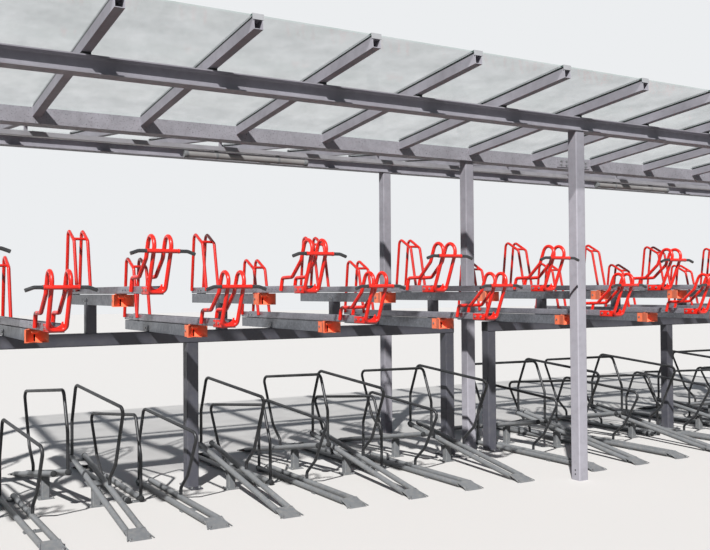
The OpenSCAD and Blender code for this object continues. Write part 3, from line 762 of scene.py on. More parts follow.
@dataclass
class UpperTray:
    """A pull-out tray: wheel channel, carriage, yoke with hoops and handle, and inner holder.
    """

    width: float = 0.080
    height: float = 0.050
    sheet: float = 0.003
    front: float = -0.090
    end: float = 2.100
    lip: float = 0.007
    corner_r: float = 0.0045
    seat: float = 0.0003
    # Drain slots in the floor (half width, half length), then punched slots in both sides.
    drain_count: int = 8
    drain_half: Pair = (0.008, 0.035)
    punch_count: int = 4
    punch_start: float = 0.400
    punch_pitch: float = 0.060
    punch_half: float = 0.013
    punch_z: Pair = (0.020, 0.029)
    roller_r: float = 0.026
    roller_w: float = 0.044
    roller_inset: float = 0.080
    roller_span: float = 0.120
    # Steps of a roller's dished face, each as (thickness, depth) of an inset.
    roller_dish: tuple[Pair, ...] = ((0.005, 0.0), (0.002, -0.003), (0.010, 0.0), (0.001, 0.0025))
    roller_edge: float = 0.0015
    axle_z: float = -0.0547
    bracket_x: float = 0.013
    bracket_t: float = 0.004
    bracket_drop: float = 0.012
    spacer_half: Pair = (0.011, 0.020)
    spacer_rise: float = 0.020
    yoke_t: float = 0.005
    yoke_edge: float = 0.0015
    cheek_l: float = 0.165
    cheek_drop: float = 0.004
    mouth_set: float = 0.0045
    mouth_rise: float = 0.010
    mouth_side: float = 0.001
    notch_in: float = 0.010
    notch_edge: float = 0.0008
    cutter_edge: float = 0.001
    tube_r: float = 0.0135
    foot_gap: float = 0.002
    foot_sink: float = 0.003
    foot_bend: float = 0.030
    # A front hoop leans forward; its tail is given as (y behind the tray's front, z).
    hoop_lean: float = 23.8
    hoop_top: float = 0.370
    hoop_depth: float = 0.124
    hoop_knee_z: float = 0.224
    hoop_tail: tuple[Pair, ...] = ((0.165, 0.110), (0.318, 0.106), (0.345, 0.015))
    hoop_bends: tuple[float, ...] = (0.060, 0.060, 0.040, 0.040, 0.025)
    # The handle's axis as (y, z). Collars and rings start and end outwards from its red middle.
    handle_place: Pair = (-0.234, 0.262)
    handle_reach: float = 0.205
    handle_mid: float = 0.100
    handle_sides: int = 18
    collar: Pair = (-0.006, 0.003)
    collar_t: float = 0.0012
    grip_r: float = 0.0115
    grip_turn: float = 0.050
    grip_drop: float = 0.018
    grip_ring: Pair = (0.003, 0.012)
    # Corners of an inner hoop, from the tray's inner end.
    inner_hoop_y: tuple[float, ...] = (-0.400, -0.310, -0.110, -0.045)
    inner_foot_z: float = 0.020
    inner_knee_z: float = 0.430
    inner_top: float = 0.550
    inner_bend: float = 0.040
    tie_in: float = 0.032
    tie_slim: float = 0.002
    bolt_across: float = 0.017
    bolt_z: float = 0.024
    yoke_bolt_y: Pair = (0.050, 0.120)
    inner_bolt_y: Pair = (-0.220, -0.160)
    kit: dict[str, tuple[Piece, str]] = field(default_factory=dict)

    @property
    def hoop_x(self) -> float:
        """Distance of a hoop's plane from the tray's middle."""
        return self.width / 2 + self.tube_r + self.seat

    @property
    def foot_y(self) -> float:
        """Distance of the hoops' feet from the front columns."""
        return self.front - self.tube_r - self.foot_gap

    def build_kit(self) -> None:
        self.kit = {
            "channel": (self.channel(), "galvanised_steel"),
            "carriage": (self.carriage(), "tray_paint"),
            "rollers": (self.rollers(), "grip_rubber"),
            "yoke": (self.yoke(), "holder_red"),
            "hoops": (self.hoops(), "holder_red"),
            "handle_bar": (self.handle_bar(), "holder_red"),
            "grips": (self.grips(), "grip_rubber"),
            "inner_hoops": (self.inner_hoops(), "holder_red"),
            "bolts": (self.bolts(), "bolt_steel"),
        }

    def channel(self) -> Piece:
        """Fold the wheel channel: a sheet with a floor, two sides, rolled lips and punched slots.

        Returns:
            The channel.
        """
        half_w, half_h = self.width / 2, self.height / 2
        length = self.end - self.front
        middle_y = (self.front + self.end) / 2
        drain_x, drain_y = self.drain_half
        low, high = self.punch_z
        drains = [self.front + length * (i + 1) / (self.drain_count + 1)
                  for i in range(self.drain_count)]
        punched = [self.front + self.punch_start + self.punch_pitch * i
                   for i in range(self.punch_count)]

        def meets(face: Any, places: list[float], reach: float) -> bool:
            """Say whether a face lies within reach of one of the slots along the channel."""
            return any(abs(middle(face).y + middle_y - y) < reach for y in places)

        piece = begin("tray_channel", bpy.ops.mesh.primitive_cube_add, size=1.0,
                      location=(0, middle_y, half_h), scale=(self.width, length, self.height))
        pick(piece, "faces", lambda f: looks_up(f) or abs(f.normal.y) > 0.9)
        bpy.ops.mesh.delete(type="FACE")
        cuts = [(y + s * drain_y, (0, 1, 0)) for y in drains for s in (-1, 1)]
        cuts += [(y + s * self.punch_half, (0, 1, 0)) for y in punched for s in (-1, 1)]
        cuts += [(s * drain_x, (1, 0, 0)) for s in (-1, 1)] + [(z, (0, 0, 1)) for z in (low, high)]
        for place, way in cuts:
            bpy.ops.mesh.select_all(action="SELECT")
            bpy.ops.mesh.bisect(plane_co=Vector(way) * place, plane_no=way)
        pick(piece, "faces", lambda f: abs(middle(f).x) < drain_x
             and middle(f).z < NEAR - half_h and meets(f, drains, drain_y))
        bpy.ops.mesh.delete(type="FACE")
        pick(piece, "faces", lambda f: abs(middle(f).x) > half_w - NEAR
             and low < middle(f).z + half_h < high and meets(f, punched, self.punch_half))
        bpy.ops.mesh.delete(type="FACE")
        for side in (-1, 1):
            pick(piece, "edges", lambda e: e.is_boundary and middle(e).z > half_h - NEAR
                 and middle(e).x * side > 0 and runs_along(e, "y"))
            bpy.ops.mesh.extrude_region_move(
                TRANSFORM_OT_translate={"value": (-side * self.lip, 0, 0)})
        pick(piece, "edges", lambda e: abs(abs(middle(e).x) - half_w) < NEAR
             and abs(abs(middle(e).z) - half_h) < NEAR and runs_along(e, "y"))
        round_edges(self.corner_r, segments=3)
        bpy.ops.object.mode_set(mode="OBJECT")
        modify(piece, "SOLIDIFY", thickness=self.sheet, offset=-1.0)
        return close(piece)

    def carriage(self) -> Piece:
        """Build the bracket under the inner end that carries the rollers.

        Returns:
            The two side plates and their spacer.
        """
        middle_y = self.end - self.roller_inset - self.roller_span / 2
        half_l = self.roller_span / 2 + self.roller_r / 2
        half_t = self.bracket_t / 2
        half_x, half_y = self.spacer_half
        sides = [plate(f"carriage_side_{s}", (s * self.bracket_x - half_t, middle_y - half_l,
                                              self.axle_z - self.bracket_drop),
                       (s * self.bracket_x + half_t, middle_y + half_l, 0.0)) for s in (-1, 1)]
        spacer = plate("carriage_spacer",
                       (-half_x, middle_y - half_y, self.axle_z + self.spacer_rise),
                       (half_x, middle_y + half_y, 0.0))
        return joined("tray_carriage", [*sides, spacer])

    def rollers(self) -> Piece:
        """Turn the two rollers, with dished faces and a hub.

        Returns:
            Both rollers as one piece.
        """
        pair = []
        for i in (0, 1):
            place = (0, self.end - self.roller_inset - i * self.roller_span, self.axle_z)
            roller = begin(f"roller_{i}", bpy.ops.mesh.primitive_cylinder_add, vertices=32,
                           radius=self.roller_r, depth=self.roller_w, location=place,
                           rotation=(0, math.pi / 2, 0))
            pick(roller, "faces", is_cap)
            inset(*self.roller_dish)
            pick(roller, "edges", lambda e: abs(e.verts[0].co.z - e.verts[1].co.z) < NEAR
                 and all(abs(v.co.xy.length - self.roller_r) < NEAR for v in e.verts))
            round_edges(self.roller_edge)
            pair.append(close(roller))
        return joined("tray_rollers", pair)

    def yoke(self) -> Piece:
        """Weld the yoke: two cheeks, a floor and a front plate with a notch for the wheel.

        Returns:
            The yoke.
        """
        inner = self.width / 2 + self.seat
        outer = inner + self.yoke_t
        floor = -self.yoke_t - self.seat
        top = self.height + self.mouth_rise
        start, stop = self.foot_y, self.foot_y + self.cheek_l
        cheeks = [plate(f"cheek_{s}", (min(s * inner, s * outer), start, floor),
                        (max(s * inner, s * outer), stop, self.height - self.cheek_drop),
                        self.yoke_edge) for s in (-1, 1)]
        base = plate("yoke_floor", (-outer, start, floor), (outer, stop, floor + self.yoke_t),
                     self.yoke_edge)
        mouth = begin("yoke_mouth", bpy.ops.mesh.primitive_cube_add, size=1.0,
                      location=(0, self.front - self.mouth_set, (floor + top) / 2),
                      scale=(2 * (inner + self.mouth_side), self.yoke_t, top - floor))
        close(mouth)
        cutter = begin("notch_cutter", bpy.ops.mesh.primitive_cylinder_add, vertices=48,
                       radius=inner - self.notch_in, depth=8 * self.yoke_t,
                       location=(0, self.front, top), rotation=(math.pi / 2, 0, 0))
        round_edges(self.cutter_edge, segments=1)
        close(cutter)
        modify(mouth, "BOOLEAN", object=cutter, operation="DIFFERENCE", solver="EXACT")
        bpy.data.objects.remove(cutter)
        modify(mouth, "BEVEL", width=self.notch_edge, segments=2, limit_method="ANGLE")
        return joined("tray_yoke", [*cheeks, base, close(mouth)])

    def hoop_points(self) -> list[Pair]:
        """Find one hoop's corners.

        Returns:
            The corners as (y, z), from the foot over the top to the rear end.
        """
        lean = math.radians(self.hoop_lean)
        rise = Vector((-math.sin(lean), math.cos(lean)))
        back = Vector((math.cos(lean), math.sin(lean)))
        bend = self.hoop_bends[0]
        foot = Vector((self.foot_y, self.tube_r - self.foot_sink))
        turn_z = self.hoop_top - self.tube_r - bend - back.y * self.hoop_depth / 2 + rise.y * bend
        front_top = foot + rise * (turn_z - foot.y) / rise.y
        rear_top = front_top + back * self.hoop_depth
        knee = rear_top - rise * (rear_top.y - self.hoop_knee_z) / rise.y
        tail = [(self.front + y, z) for y, z in self.hoop_tail]
        return [tuple(p) for p in (foot, front_top, rear_top, knee)] + tail

    def hoops(self) -> Piece:
        """Bend both front hoops and the bar between their feet from one tube.

        Returns:
            The tube.
        """
        profile = self.hoop_points()
        bends = [*reversed(self.hoop_bends), self.foot_bend, self.foot_bend, *self.hoop_bends]
        left = [(-self.hoop_x, y, z) for y, z in reversed(profile)]
        right = [(self.hoop_x, y, z) for y, z in profile]
        return bent_tube("tray_hoops", left + right, bends, self.tube_r, sides=14, steps=7)

    def ring(self, name: str, side: int, span: Pair, radius: float) -> Piece:
        """Turn a short ring on the handle.

        Args:
            name: The piece's name.
            side: -1 for the left end of the handle's middle, 1 for the right.
            span: Where it starts and ends, outwards from that end.
            radius: Its radius.

        Returns:
            The settled ring.
        """
        y, z = self.handle_place
        start, stop = ((side * (self.handle_mid + x), y, z) for x in span)
        return rod(name, start, stop, radius, sides=self.handle_sides)

    def handle_bar(self) -> Piece:
        """Turn the red middle of the handle, with a collar at both ends.

        Returns:
            The bar and its collars as one piece.
        """
        y, z = self.handle_place
        bar = rod("tray_handle_bar", (-self.handle_mid, y, z), (self.handle_mid, y, z), self.tube_r,
                  sides=self.handle_sides, edge=0.002)
        collars = [self.ring(f"handle_collar_{s}", s, self.collar, self.tube_r + self.collar_t)
                   for s in (-1, 1)]
        return joined("tray_handle_bar", [bar, *collars])

    def grips(self) -> Piece:
        """Mould the two levers: a slim bar that turns down at its end, with a ring.

        Returns:
            Both levers as one piece.
        """
        y, z = self.handle_place
        pair = []
        for side in (-1, 1):
            points = [(side * self.handle_mid, y, z),
                      (side * (self.handle_reach - self.grip_turn), y, z),
                      (side * self.handle_reach, y, z - self.grip_drop)]
            pair.append(bent_tube(f"lever_{side}", points, [self.grip_turn], self.grip_r, steps=4))
            pair.append(self.ring(f"lever_ring_{side}", side, self.grip_ring,
                                  self.grip_r + self.collar_t))
        return joined("tray_grips", pair)

    def inner_hoops(self) -> Piece:
        """Bend the taller pair of hoops at the inner end, tied across.

        Returns:
            Both hoops and their tie as one piece.
        """
        heights = (self.inner_foot_z, self.inner_knee_z, self.inner_top - self.tube_r,
                   self.inner_foot_z)
        path = [(self.end + y, z) for y, z in zip(self.inner_hoop_y, heights)]
        slope = (Vector(path[2]) - Vector(path[1])).normalized()
        tie = Vector(path[1]) + self.tie_in * slope
        hoops = [bent_tube(f"inner_hoop_{s}", [(s * self.hoop_x, y, z) for y, z in path],
                           [self.inner_bend, self.inner_bend], self.tube_r, sides=14, steps=5)
                 for s in (-1, 1)]
        bar = rod("inner_tie", (-self.hoop_x, *tie), (self.hoop_x, *tie),
                  self.tube_r - self.tie_slim)
        return joined("tray_inner_hoops", [*hoops, bar])

    def bolts(self) -> Piece:
        """Set the bolts that hold the yoke and the inner hoops to the channel.

        Returns:
            All the bolts as one piece.
        """
        half = self.width / 2
        rows = ((half + self.seat + self.yoke_t, self.front, self.yoke_bolt_y),
                (half, self.end, self.inner_bolt_y))
        moves = [facing((s * x, start + y, self.bolt_z), (s, 0, 0))
                 for x, start, places in rows for s in (-1, 1) for y in places]
        return scattered("tray_bolts", bolt("tray_bolt", self.bolt_across), moves)

    def set_out(self, layout: Layout) -> None:
        """Args:
            layout: Where the trays stand.
        """
        finishes = {"tray_paint": Palette.RACK, "grip_rubber": Palette.GRIP,
                    "holder_red": Palette.RED, "bolt_steel": Palette.ZINC,
                    "galvanised_steel": Palette.TRAY}
        for piece, slot in self.kit.values():
            paint(piece, finishes[slot])
        for index in range(layout.count):
            node = f"tray_{index + 1:02d}"
            for part, (piece, slot) in self.kit.items():
                twin = copied(piece, f"{node}_{part}", layout.tray_place(index))
                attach(twin, f"pull_{node}")
                if part == "channel":
                    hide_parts(node)
        for piece, _ in self.kit.values():
            bpy.data.objects.remove(piece)


# ---------------------------------------------------------------------------------------------
# Fittings of the shelter, the rack and the rails
# ---------------------------------------------------------------------------------------------


def settle(piece: Piece, finish: Palette) -> Piece:
    """Finish a fixed piece: paint it and let it ride on the shelter.

    Args:
        piece: The piece, settled with close().
        finish: Its finish.

    Returns:
        The same piece.
    """
    paint(piece, finish)
    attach(piece, "shelter")
    return piece


@dataclass(frozen=True)
class RoofFittings:
    """Bolts, screws, trunking parts and lamps of the shelter itself."""

    bay: float = 5.75
    panes: int = 7
    column_half: float = 0.050
    half_l: float = 5.8
    gutter_face: float = 0.078
    gutter_z: float = 2.931
    splice_x: float = 1.360
    splice_t: float = 0.008
    splice_bolt_x: tuple[float, ...] = (-0.173, -0.103, 0.103, 0.173)
    splice_bolt_z: Pair = (-0.021, 0.021)
    splice_bolt_across: float = 0.020
    pitch: float = 5.785
    roof_front: Point = (0.0, -2.249, 3.2109)
    cover_half: float = 0.025
    cover_top: float = 0.021
    screw_count: int = 8
    screw_start: float = 0.100
    screw_pitch: float = 0.285
    screw_r: float = 0.0065
    cap_end: float = 0.046
    lip_t: float = 0.003
    lip_h: float = 0.010
    lip_edge: float = 0.0006
    duct_y: float = 0.350
    duct_z: float = 2.842
    duct_w: float = 0.060
    duct_h: float = 0.038
    coupling_places: tuple[float, ...] = (-4.02, -1.15, 1.72, 4.59)
    # A sleeve and its two rolled edges: shift along the trunking, half length, and how far proud.
    coupling_rings: tuple[Point, ...] = ((0.0, 0.045, 0.0015), (-0.042, 0.003, 0.0028),
                                         (0.042, 0.003, 0.0028))
    lid_z: float = 0.0035
    lid_h: float = 0.009
    lid_t: float = 0.0008
    lid_proud: float = 0.0012
    lid_short: float = 0.002
    lid_edge: float = 0.0015
    plug_r: float = 0.007
    plug_t: float = 0.001
    plug_z: Pair = (0.050, 0.084)
    # Steps of a plug's dished face, each as (thickness, depth) of an inset.
    plug_dish: tuple[Pair, ...] = ((0.0015, 0.0), (0.0008, -0.0006))
    lamp_r: float = 0.032
    lamp_l: float = 1.2
    lamp_drop: float = 0.014
    lamp_places: Pair = (-2.2, 2.74)
    lamp_sides: int = 32
    tube_slim: float = 0.004
    tube_short: float = 0.015
    tube_dome: Pair = (0.003, 0.002)
    lamp_cap: float = 0.030
    lamp_ring: float = 0.010
    ring_slim: float = 0.002
    clamp_half: float = 0.011
    clamp_slim: float = 0.0022
    foot_half: float = 0.015
    foot_sink: float = 0.004
    spine_short: float = 0.045
    spine_half: float = 0.010
    spine_t: float = 0.0035
    spine_sink: float = 0.0015
    spine_screw_x: tuple[float, ...] = (-0.45, -0.15, 0.15, 0.45)
    spine_screw_r: float = 0.004

    @property
    def rafters(self) -> list[float]:
        """Where the rafters stand along the shelter."""
        return [i * self.bay / self.panes for i in range(-self.panes, self.panes + 1)]

    def on_roof(self, x: float, run: float, height: float) -> Vector:
        """Find a point of the front roof.

        Args:
            x: Its place along the shelter.
            run: How far it lies down a rafter's top edge, from the outer end.
            height: How far it lies above that edge.

        Returns:
            The point.
        """
        sine, cosine = math.sin(math.radians(self.pitch)), math.cos(math.radians(self.pitch))
        return Vector((x, self.roof_front[1] + run * cosine + height * sine,
                       self.roof_front[2] - run * sine + height * cosine))

    def splice_bolts(self) -> Piece:
        """Bolt the plates over the gutter's joint, eight bolts on each face.

        Returns:
            All the bolts as one piece.
        """
        face = self.gutter_face + self.splice_t
        moves = [facing((self.splice_x + x, s * face, self.gutter_z + z), (0, s, 0))
                 for s in (-1, 1) for x in self.splice_bolt_x for z in self.splice_bolt_z]
        return scattered("splice_bolts", bolt("splice_bolt", self.splice_bolt_across), moves)

    def cover_screws(self) -> Piece:
        """Screw down the strips over the glass joints, and the caps on the rafters' ends.

        Returns:
            All the screws as one piece.
        """
        normal = self.on_roof(0, 0, 1) - self.on_roof(0, 0, 0)
        points = [self.on_roof(x, self.screw_start + self.screw_pitch * i, self.cover_top)
                  for x in self.rafters for i in range(self.screw_count)]
        moves = [facing((point.x, s * point.y, point.z), (0, s * normal.y, normal.z))
                 for point in points for s in (1, -1)]
        return scattered("cover_screws", screw("cover_screw", self.screw_r), moves)

    def cover_lips(self) -> Piece:
        """Raise the upright edges of each cover strip, which catch the sun over the dark joint.

        Returns:
            All the edges as one piece.
        """
        run = (-self.gutter_face - self.roof_front[1]) / math.cos(math.radians(self.pitch))
        lip = plate("cover_lip", (0, self.cap_end, 0), (self.lip_t, run, self.lip_h), self.lip_edge)
        tilt = Matrix.Rotation(-math.radians(self.pitch), 4, "X")
        half_t = self.lip_t / 2
        places = [self.on_roof(x + s * (self.cover_half - half_t) - half_t, 0, self.cover_top)
                  for x in self.rafters for s in (-1, 1)]
        front = [Matrix.Translation(place) @ tilt for place in places]
        rear = [Matrix.Rotation(math.pi, 4, "Z") @ move for move in front]
        return scattered("cover_lips", lip, front + rear)

    def trunking_couplings(self) -> Piece:
        """Fold the sleeves that join the trunking's lengths, with a rolled edge at both ends.

        Returns:
            All the sleeves as one piece.
        """
        half_w = self.duct_w / 2
        top = self.duct_z + self.duct_h
        sleeves = []
        for x in self.coupling_places:
            for shift, half, proud in self.coupling_rings:
                sleeves.append(plate(
                    "coupling_ring",
                    (x + shift - half, self.duct_y - half_w - proud, self.duct_z - proud),
                    (x + shift + half, self.duct_y + half_w + proud, top + proud), edge=0.001))
        return joined("trunking_couplings", sleeves)

    def trunking_lid(self) -> Piece:
        """Clip the lid onto the trunking's underside: a shallow channel with a lip on each side.

        Returns:
            The lid.
        """
        size = (2 * (self.half_l - self.lid_short), self.duct_w + 2 * self.lid_proud, self.lid_h)
        lid = begin("trunking_lid", bpy.ops.mesh.primitive_cube_add, size=1.0,
                    location=(0, self.duct_y, self.duct_z + self.lid_z), scale=size)
        pick(lid, "faces", lambda f: looks_up(f) or abs(f.normal.x) > 0.9)
        bpy.ops.mesh.delete(type="FACE")
        pick(lid, "edges", lambda e: middle(e).z < 0 and runs_along(e, "x"))
        round_edges(self.lid_edge)
        bpy.ops.object.mode_set(mode="OBJECT")
        modify(lid, "SOLIDIFY", thickness=self.lid_t, offset=-1.0)
        return close(lid)

    def foot_plugs(self) -> Piece:
        """Press two small dished plugs into the left face of each column, just over the floor.

        Returns:
            All the plugs as one piece.
        """
        plug = begin("foot_plug", bpy.ops.mesh.primitive_cylinder_add, vertices=16,
                     radius=self.plug_r, depth=self.plug_t, location=(0, 0, self.plug_t / 2))
        pick(plug, "faces", looks_up)
        inset(*self.plug_dish)
        close(plug, smooth=CRISP)
        moves = [facing((x - self.column_half, y, z), (-1, 0, 0))
                 for x in (-self.bay, 0, self.bay) for y in (FRONT_Y, 0, -FRONT_Y)
                 for z in self.plug_z]
        return scattered("foot_plugs", plug, moves)

    def lamp_tube(self) -> Piece:
        """Blow the lamp's opal tube, domed a little at its ends, along X at the origin.

        Returns:
            The tube.
        """
        tube = begin("lamp_tube", bpy.ops.mesh.primitive_cylinder_add, vertices=self.lamp_sides,
                     radius=self.lamp_r - self.tube_slim, depth=self.lamp_l - 2 * self.tube_short,
                     rotation=(0, math.pi / 2, 0))
        pick(tube, "faces", is_cap)
        inset(self.tube_dome)
        return close(tube)

    def lamp_ends(self) -> Piece:
        """Mould the lamp's two end caps, each with a ring, and its two clamps on their feet.

        Returns:
            All of them as one piece.
        """
        end = self.lamp_l / 2
        parts = []
        for s in (-1, 1):
            cap, ring = s * (end - self.lamp_cap), s * (end - self.lamp_cap - self.lamp_ring)
            grip = s * end / 2
            # Each turned part: its two ends along the lamp, its radius, and its edge's radius.
            turned = ((cap, s * end, self.lamp_r, 0.003),
                      (ring, cap, self.lamp_r - self.ring_slim, 0.002),
                      (grip - self.clamp_half, grip + self.clamp_half,
                       self.lamp_r - self.clamp_slim, 0.0008))
            parts += [rod("lamp_ring", (start, 0, 0), (stop, 0, 0), radius, self.lamp_sides, edge)
                      for start, stop, radius, edge in turned]
            half = self.foot_half
            parts.append(plate("lamp_foot", (grip - half, -half, self.lamp_r - self.foot_sink),
                               (grip + half, half, self.lamp_r + self.lamp_drop), edge=0.0015))
        return joined("lamp_ends", parts)

    def lamp_spine(self) -> Piece:
        """Fold the strip that runs over the lamp, held by four screws.

        Returns:
            The strip and its screws as one piece.
        """
        length = self.lamp_l / 2 - self.spine_short
        top = self.lamp_r - self.spine_sink
        strip = plate("lamp_strip", (-length, -self.spine_half, top - self.spine_t),
                      (length, self.spine_half, top), edge=0.001)
        screws = scattered("strip_screws", screw("strip_screw", self.spine_screw_r),
                           [facing((x, 0, top), (0, 0, 1)) for x in self.spine_screw_x])
        return joined("lamp_spine", [strip, screws])

    def build(self) -> None:
        """Set out every fitting of the roof."""
        settle(self.splice_bolts(), Palette.ZINC)
        settle(self.cover_screws(), Palette.ZINC)
        settle(self.cover_lips(), Palette.COVER)
        settle(self.trunking_couplings(), Palette.TRUNKING)
        settle(self.trunking_lid(), Palette.TRUNKING)
        settle(self.foot_plugs(), Palette.RUBBER)
        lamp_z = self.duct_z - self.lamp_drop - self.lamp_r
        moves = [Matrix.Translation((x, self.duct_y, lamp_z)) for x in self.lamp_places]
        for pattern, slot, finish in ((self.lamp_tube(), "lamp_plastic", Palette.LAMP),
                                      (self.lamp_ends(), "lamp_plastic", Palette.LAMP_END),
                                      (self.lamp_spine(), "trunking_paint", Palette.TRUNKING)):
            piece = settle(scattered(f"{pattern.name}s", pattern, moves), finish)
            if finish is Palette.LAMP:
                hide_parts("tube_lights")


@dataclass(frozen=True)
class RackFittings:
    """Anchors, brackets, end plugs and bolts of the rack and the lower rails."""

    layout: Layout
    post_offset: float = 0.260
    foot_t: float = 0.012
    # Half the pattern of a foot plate's four anchors, in X and Y.
    anchor_half: Pair = (0.030, 0.110)
    anchor_across: float = 0.026
    anchor_washer: float = 1.35
    seam_half: float = 0.0505
    seam_rise: float = 0.001
    seam_r: float = 0.0035
    track_w: float = 0.070
    clearance: float = 0.0004
    angle_t: float = 0.004
    angle_half: float = 0.030
    angle_h: float = 0.050
    angle_bolt_y: Pair = (-0.018, 0.018)
    angle_bolt_z: float = 0.030
    guide_in: float = 0.035
    guide_proud: float = 0.0009
    guide_bolt_z: float = 0.040
    track_bolt_across: float = 0.015
    beam_half: float = 0.050
    beam_z: float = 1.235
    beam_plug_half: float = 0.0445
    beam_plug_t: float = 0.004
    rail_r: float = 0.0212
    rail_gauge: float = 0.103
    rail_front: float = 0.158
    rail_start: float = 0.295
    rail_end: float = 1.810
    rail_z: float = 0.028
    rail_rise: float = 0.260
    rail_post_y: float = 1.270
    rear_rails: int = 4
    cap_proud: float = 0.0012
    cap_l: float = 0.012
    cap_dome: tuple[Pair, ...] = ((0.004, 0.004), (0.008, 0.002))
    # A ramp's bolts and lips: distance from the middle, distance behind the rail's front, height.
    ramp_bolt: Point = (0.062, 0.028, 0.0105)
    ramp_normal: Point = (0, -0.29, 0.957)
    foot_bolt: float = 0.046
    foot_bolt_z: float = 0.006
    cross_bolt_y: Pair = (0.740, 1.775)
    cross_bolt_z: float = 0.0108
    rail_bolt_across: float = 0.016
    rail_bolt_washer: float = 1.25
    ramp_lip_low: Point = (0.088, 0.006, 0.006)
    ramp_lip_high: Pair = (0.052, 0.142)
    ramp_lip_sink: float = 0.006
    ramp_lip_r: float = 0.004

    @property
    def slope(self) -> float:
        """Rise of a raised rail for each metre."""
        return self.rail_rise / (self.rail_end - self.rail_start)

    @property
    def track_side(self) -> float:
        """Distance of the angles' outer faces from a track's middle."""
        return self.track_w / 2 + self.clearance + self.angle_t

    def axis_z(self, y: float, raised: bool) -> float:
        """Height of a rail's tubes at the distance y behind the front columns."""
        return self.rail_z + ((y - self.rail_start) * self.slope if raised else 0.0)

    def posts(self) -> list[float]:
        """Where the rack's posts stand along the shelter."""
        half = self.layout.bay / 2
        return [m + s * (half - self.post_offset) for m in (-half, half) for s in (-1, 0, 1)]

    def rails(self) -> list[tuple[Matrix, bool]]:
        """Set out the lower rails.

        Returns:
            Each rail's place and turn, and whether it is raised.
        """
        layout = self.layout
        places = [
            (Matrix.Translation((layout.place_x(i) + layout.rail_shift, FRONT_Y, 0)), i % 2 == 1)
            for i in range(layout.count)
        ]
        for m in (-layout.bay / 2, layout.bay / 2):
            for n in range(-self.rear_rails, self.rear_rails + 1):
                if n:
                    x = m + n * layout.pitch + layout.rail_shift
                    move = Matrix.Translation((x, -FRONT_Y, 0))
                    places.append((move @ Matrix.Rotation(math.pi, 4, "Z"), n % 2 == 0))
        return places

    def anchors(self) -> Piece:
        """Set the four anchor bolts in each post's foot plate.

        Returns:
            All the bolts as one piece.
        """
        half_x, half_y = self.anchor_half
        moves = [facing((x + s * half_x, t * half_y, self.foot_t), (0, 0, 1))
                 for x in self.posts() for s in (-1, 1) for t in (-1, 1)]
        pattern = bolt("post_anchor", self.anchor_across, self.anchor_washer)
        return scattered("post_anchors", pattern, moves)

    def post_seams(self) -> Piece:
        """Lay the weld beads round the posts' feet.

        Returns:
            All the beads as one piece.
        """
        half, z = self.seam_half, self.foot_t + self.seam_rise
        beads = []
        for x in self.posts():
            ring = [(x + s * half, t * half, z) for s, t in ((-1, -1), (1, -1), (1, 1), (-1, 1))]
            beads += [rod("bead", corner, after, self.seam_r, sides=8, edge=0.0005)
                      for corner, after in zip(ring, ring[1:] + ring[:1])]
        return joined("post_weld_beads", beads)

    def track_brackets(self) -> Piece:
        """Fold the angles that hold each track to its beam or stub post.

        Returns:
            All the angles as one piece.
        """
        outer, half = self.track_side, self.angle_half
        inner = outer - self.angle_t
        pieces = []
        for i in range(self.layout.count):
            x, z = self.layout.tray_x(i), self.layout.track_z(i)
            for left, right in ((-outer, -inner), (inner, outer)):
                pieces.append(plate("track_angle", (x + left, -half, z + self.clearance),
                                    (x + right, half, z + self.angle_h), edge=0.001))
        return joined("track_brackets", pieces)

    def track_bolts(self) -> Piece:
        """Bolt each track through its two angles, and each guide through its cheeks.

        Returns:
            All the bolts as one piece.
        """
        moves = []
        for i in range(self.layout.count):
            x, z = self.layout.tray_x(i), self.layout.track_z(i)
            guide_y = FRONT_Y + self.layout.track_front(i) + self.guide_in
            for s in (-1, 1):
                outer = x + s * self.track_side
                moves += [facing((outer, y, z + self.angle_bolt_z), (s, 0, 0))
                          for y in self.angle_bolt_y]
                moves.append(facing((outer + s * self.guide_proud, guide_y,
                                     z + self.guide_bolt_z), (s, 0, 0)))
        return scattered("track_bolts", bolt("track_bolt", self.track_bolt_across), moves)

    def end_plugs(self) -> Piece:
        """Press the plastic plugs into the open ends of the rack's beams.

        Returns:
            All the plugs as one piece.
        """
        half, wide = self.layout.bay / 2, self.beam_plug_half
        plugs = []
        for m in (-half, half):
            for s in (-1, 1):
                face = m + s * (half - self.post_offset + self.beam_half)
                left, right = sorted((face, face - s * self.beam_plug_t))
                plugs.append(plate("beam_plug", (left, -wide, self.beam_z - wide),
                                   (right, wide, self.beam_z + wide), edge=0.0015))
        return joined("beam_end_plugs", plugs)

    def rail_caps(self) -> Piece:
        """Press a domed cap on the inner end of each rail tube.

        Returns:
            All the caps as one piece.
        """
        tilt = math.atan(self.slope)
        moves = []
        for place, raised in self.rails():
            way = (0, math.cos(tilt), math.sin(tilt)) if raised else (0, 1, 0)
            moves += [place @ facing((s * self.rail_gauge / 2, self.rail_end,
                                      self.axis_z(self.rail_end, raised)), way) for s in (-1, 1)]
        cap = begin("rail_cap", bpy.ops.mesh.primitive_cylinder_add, vertices=24,
                    radius=self.rail_r + self.cap_proud, depth=self.cap_l)
        pick(cap, "faces", looks_up)
        inset(*self.cap_dome)
        return scattered("rail_end_caps", close(cap, smooth=50.0), moves)

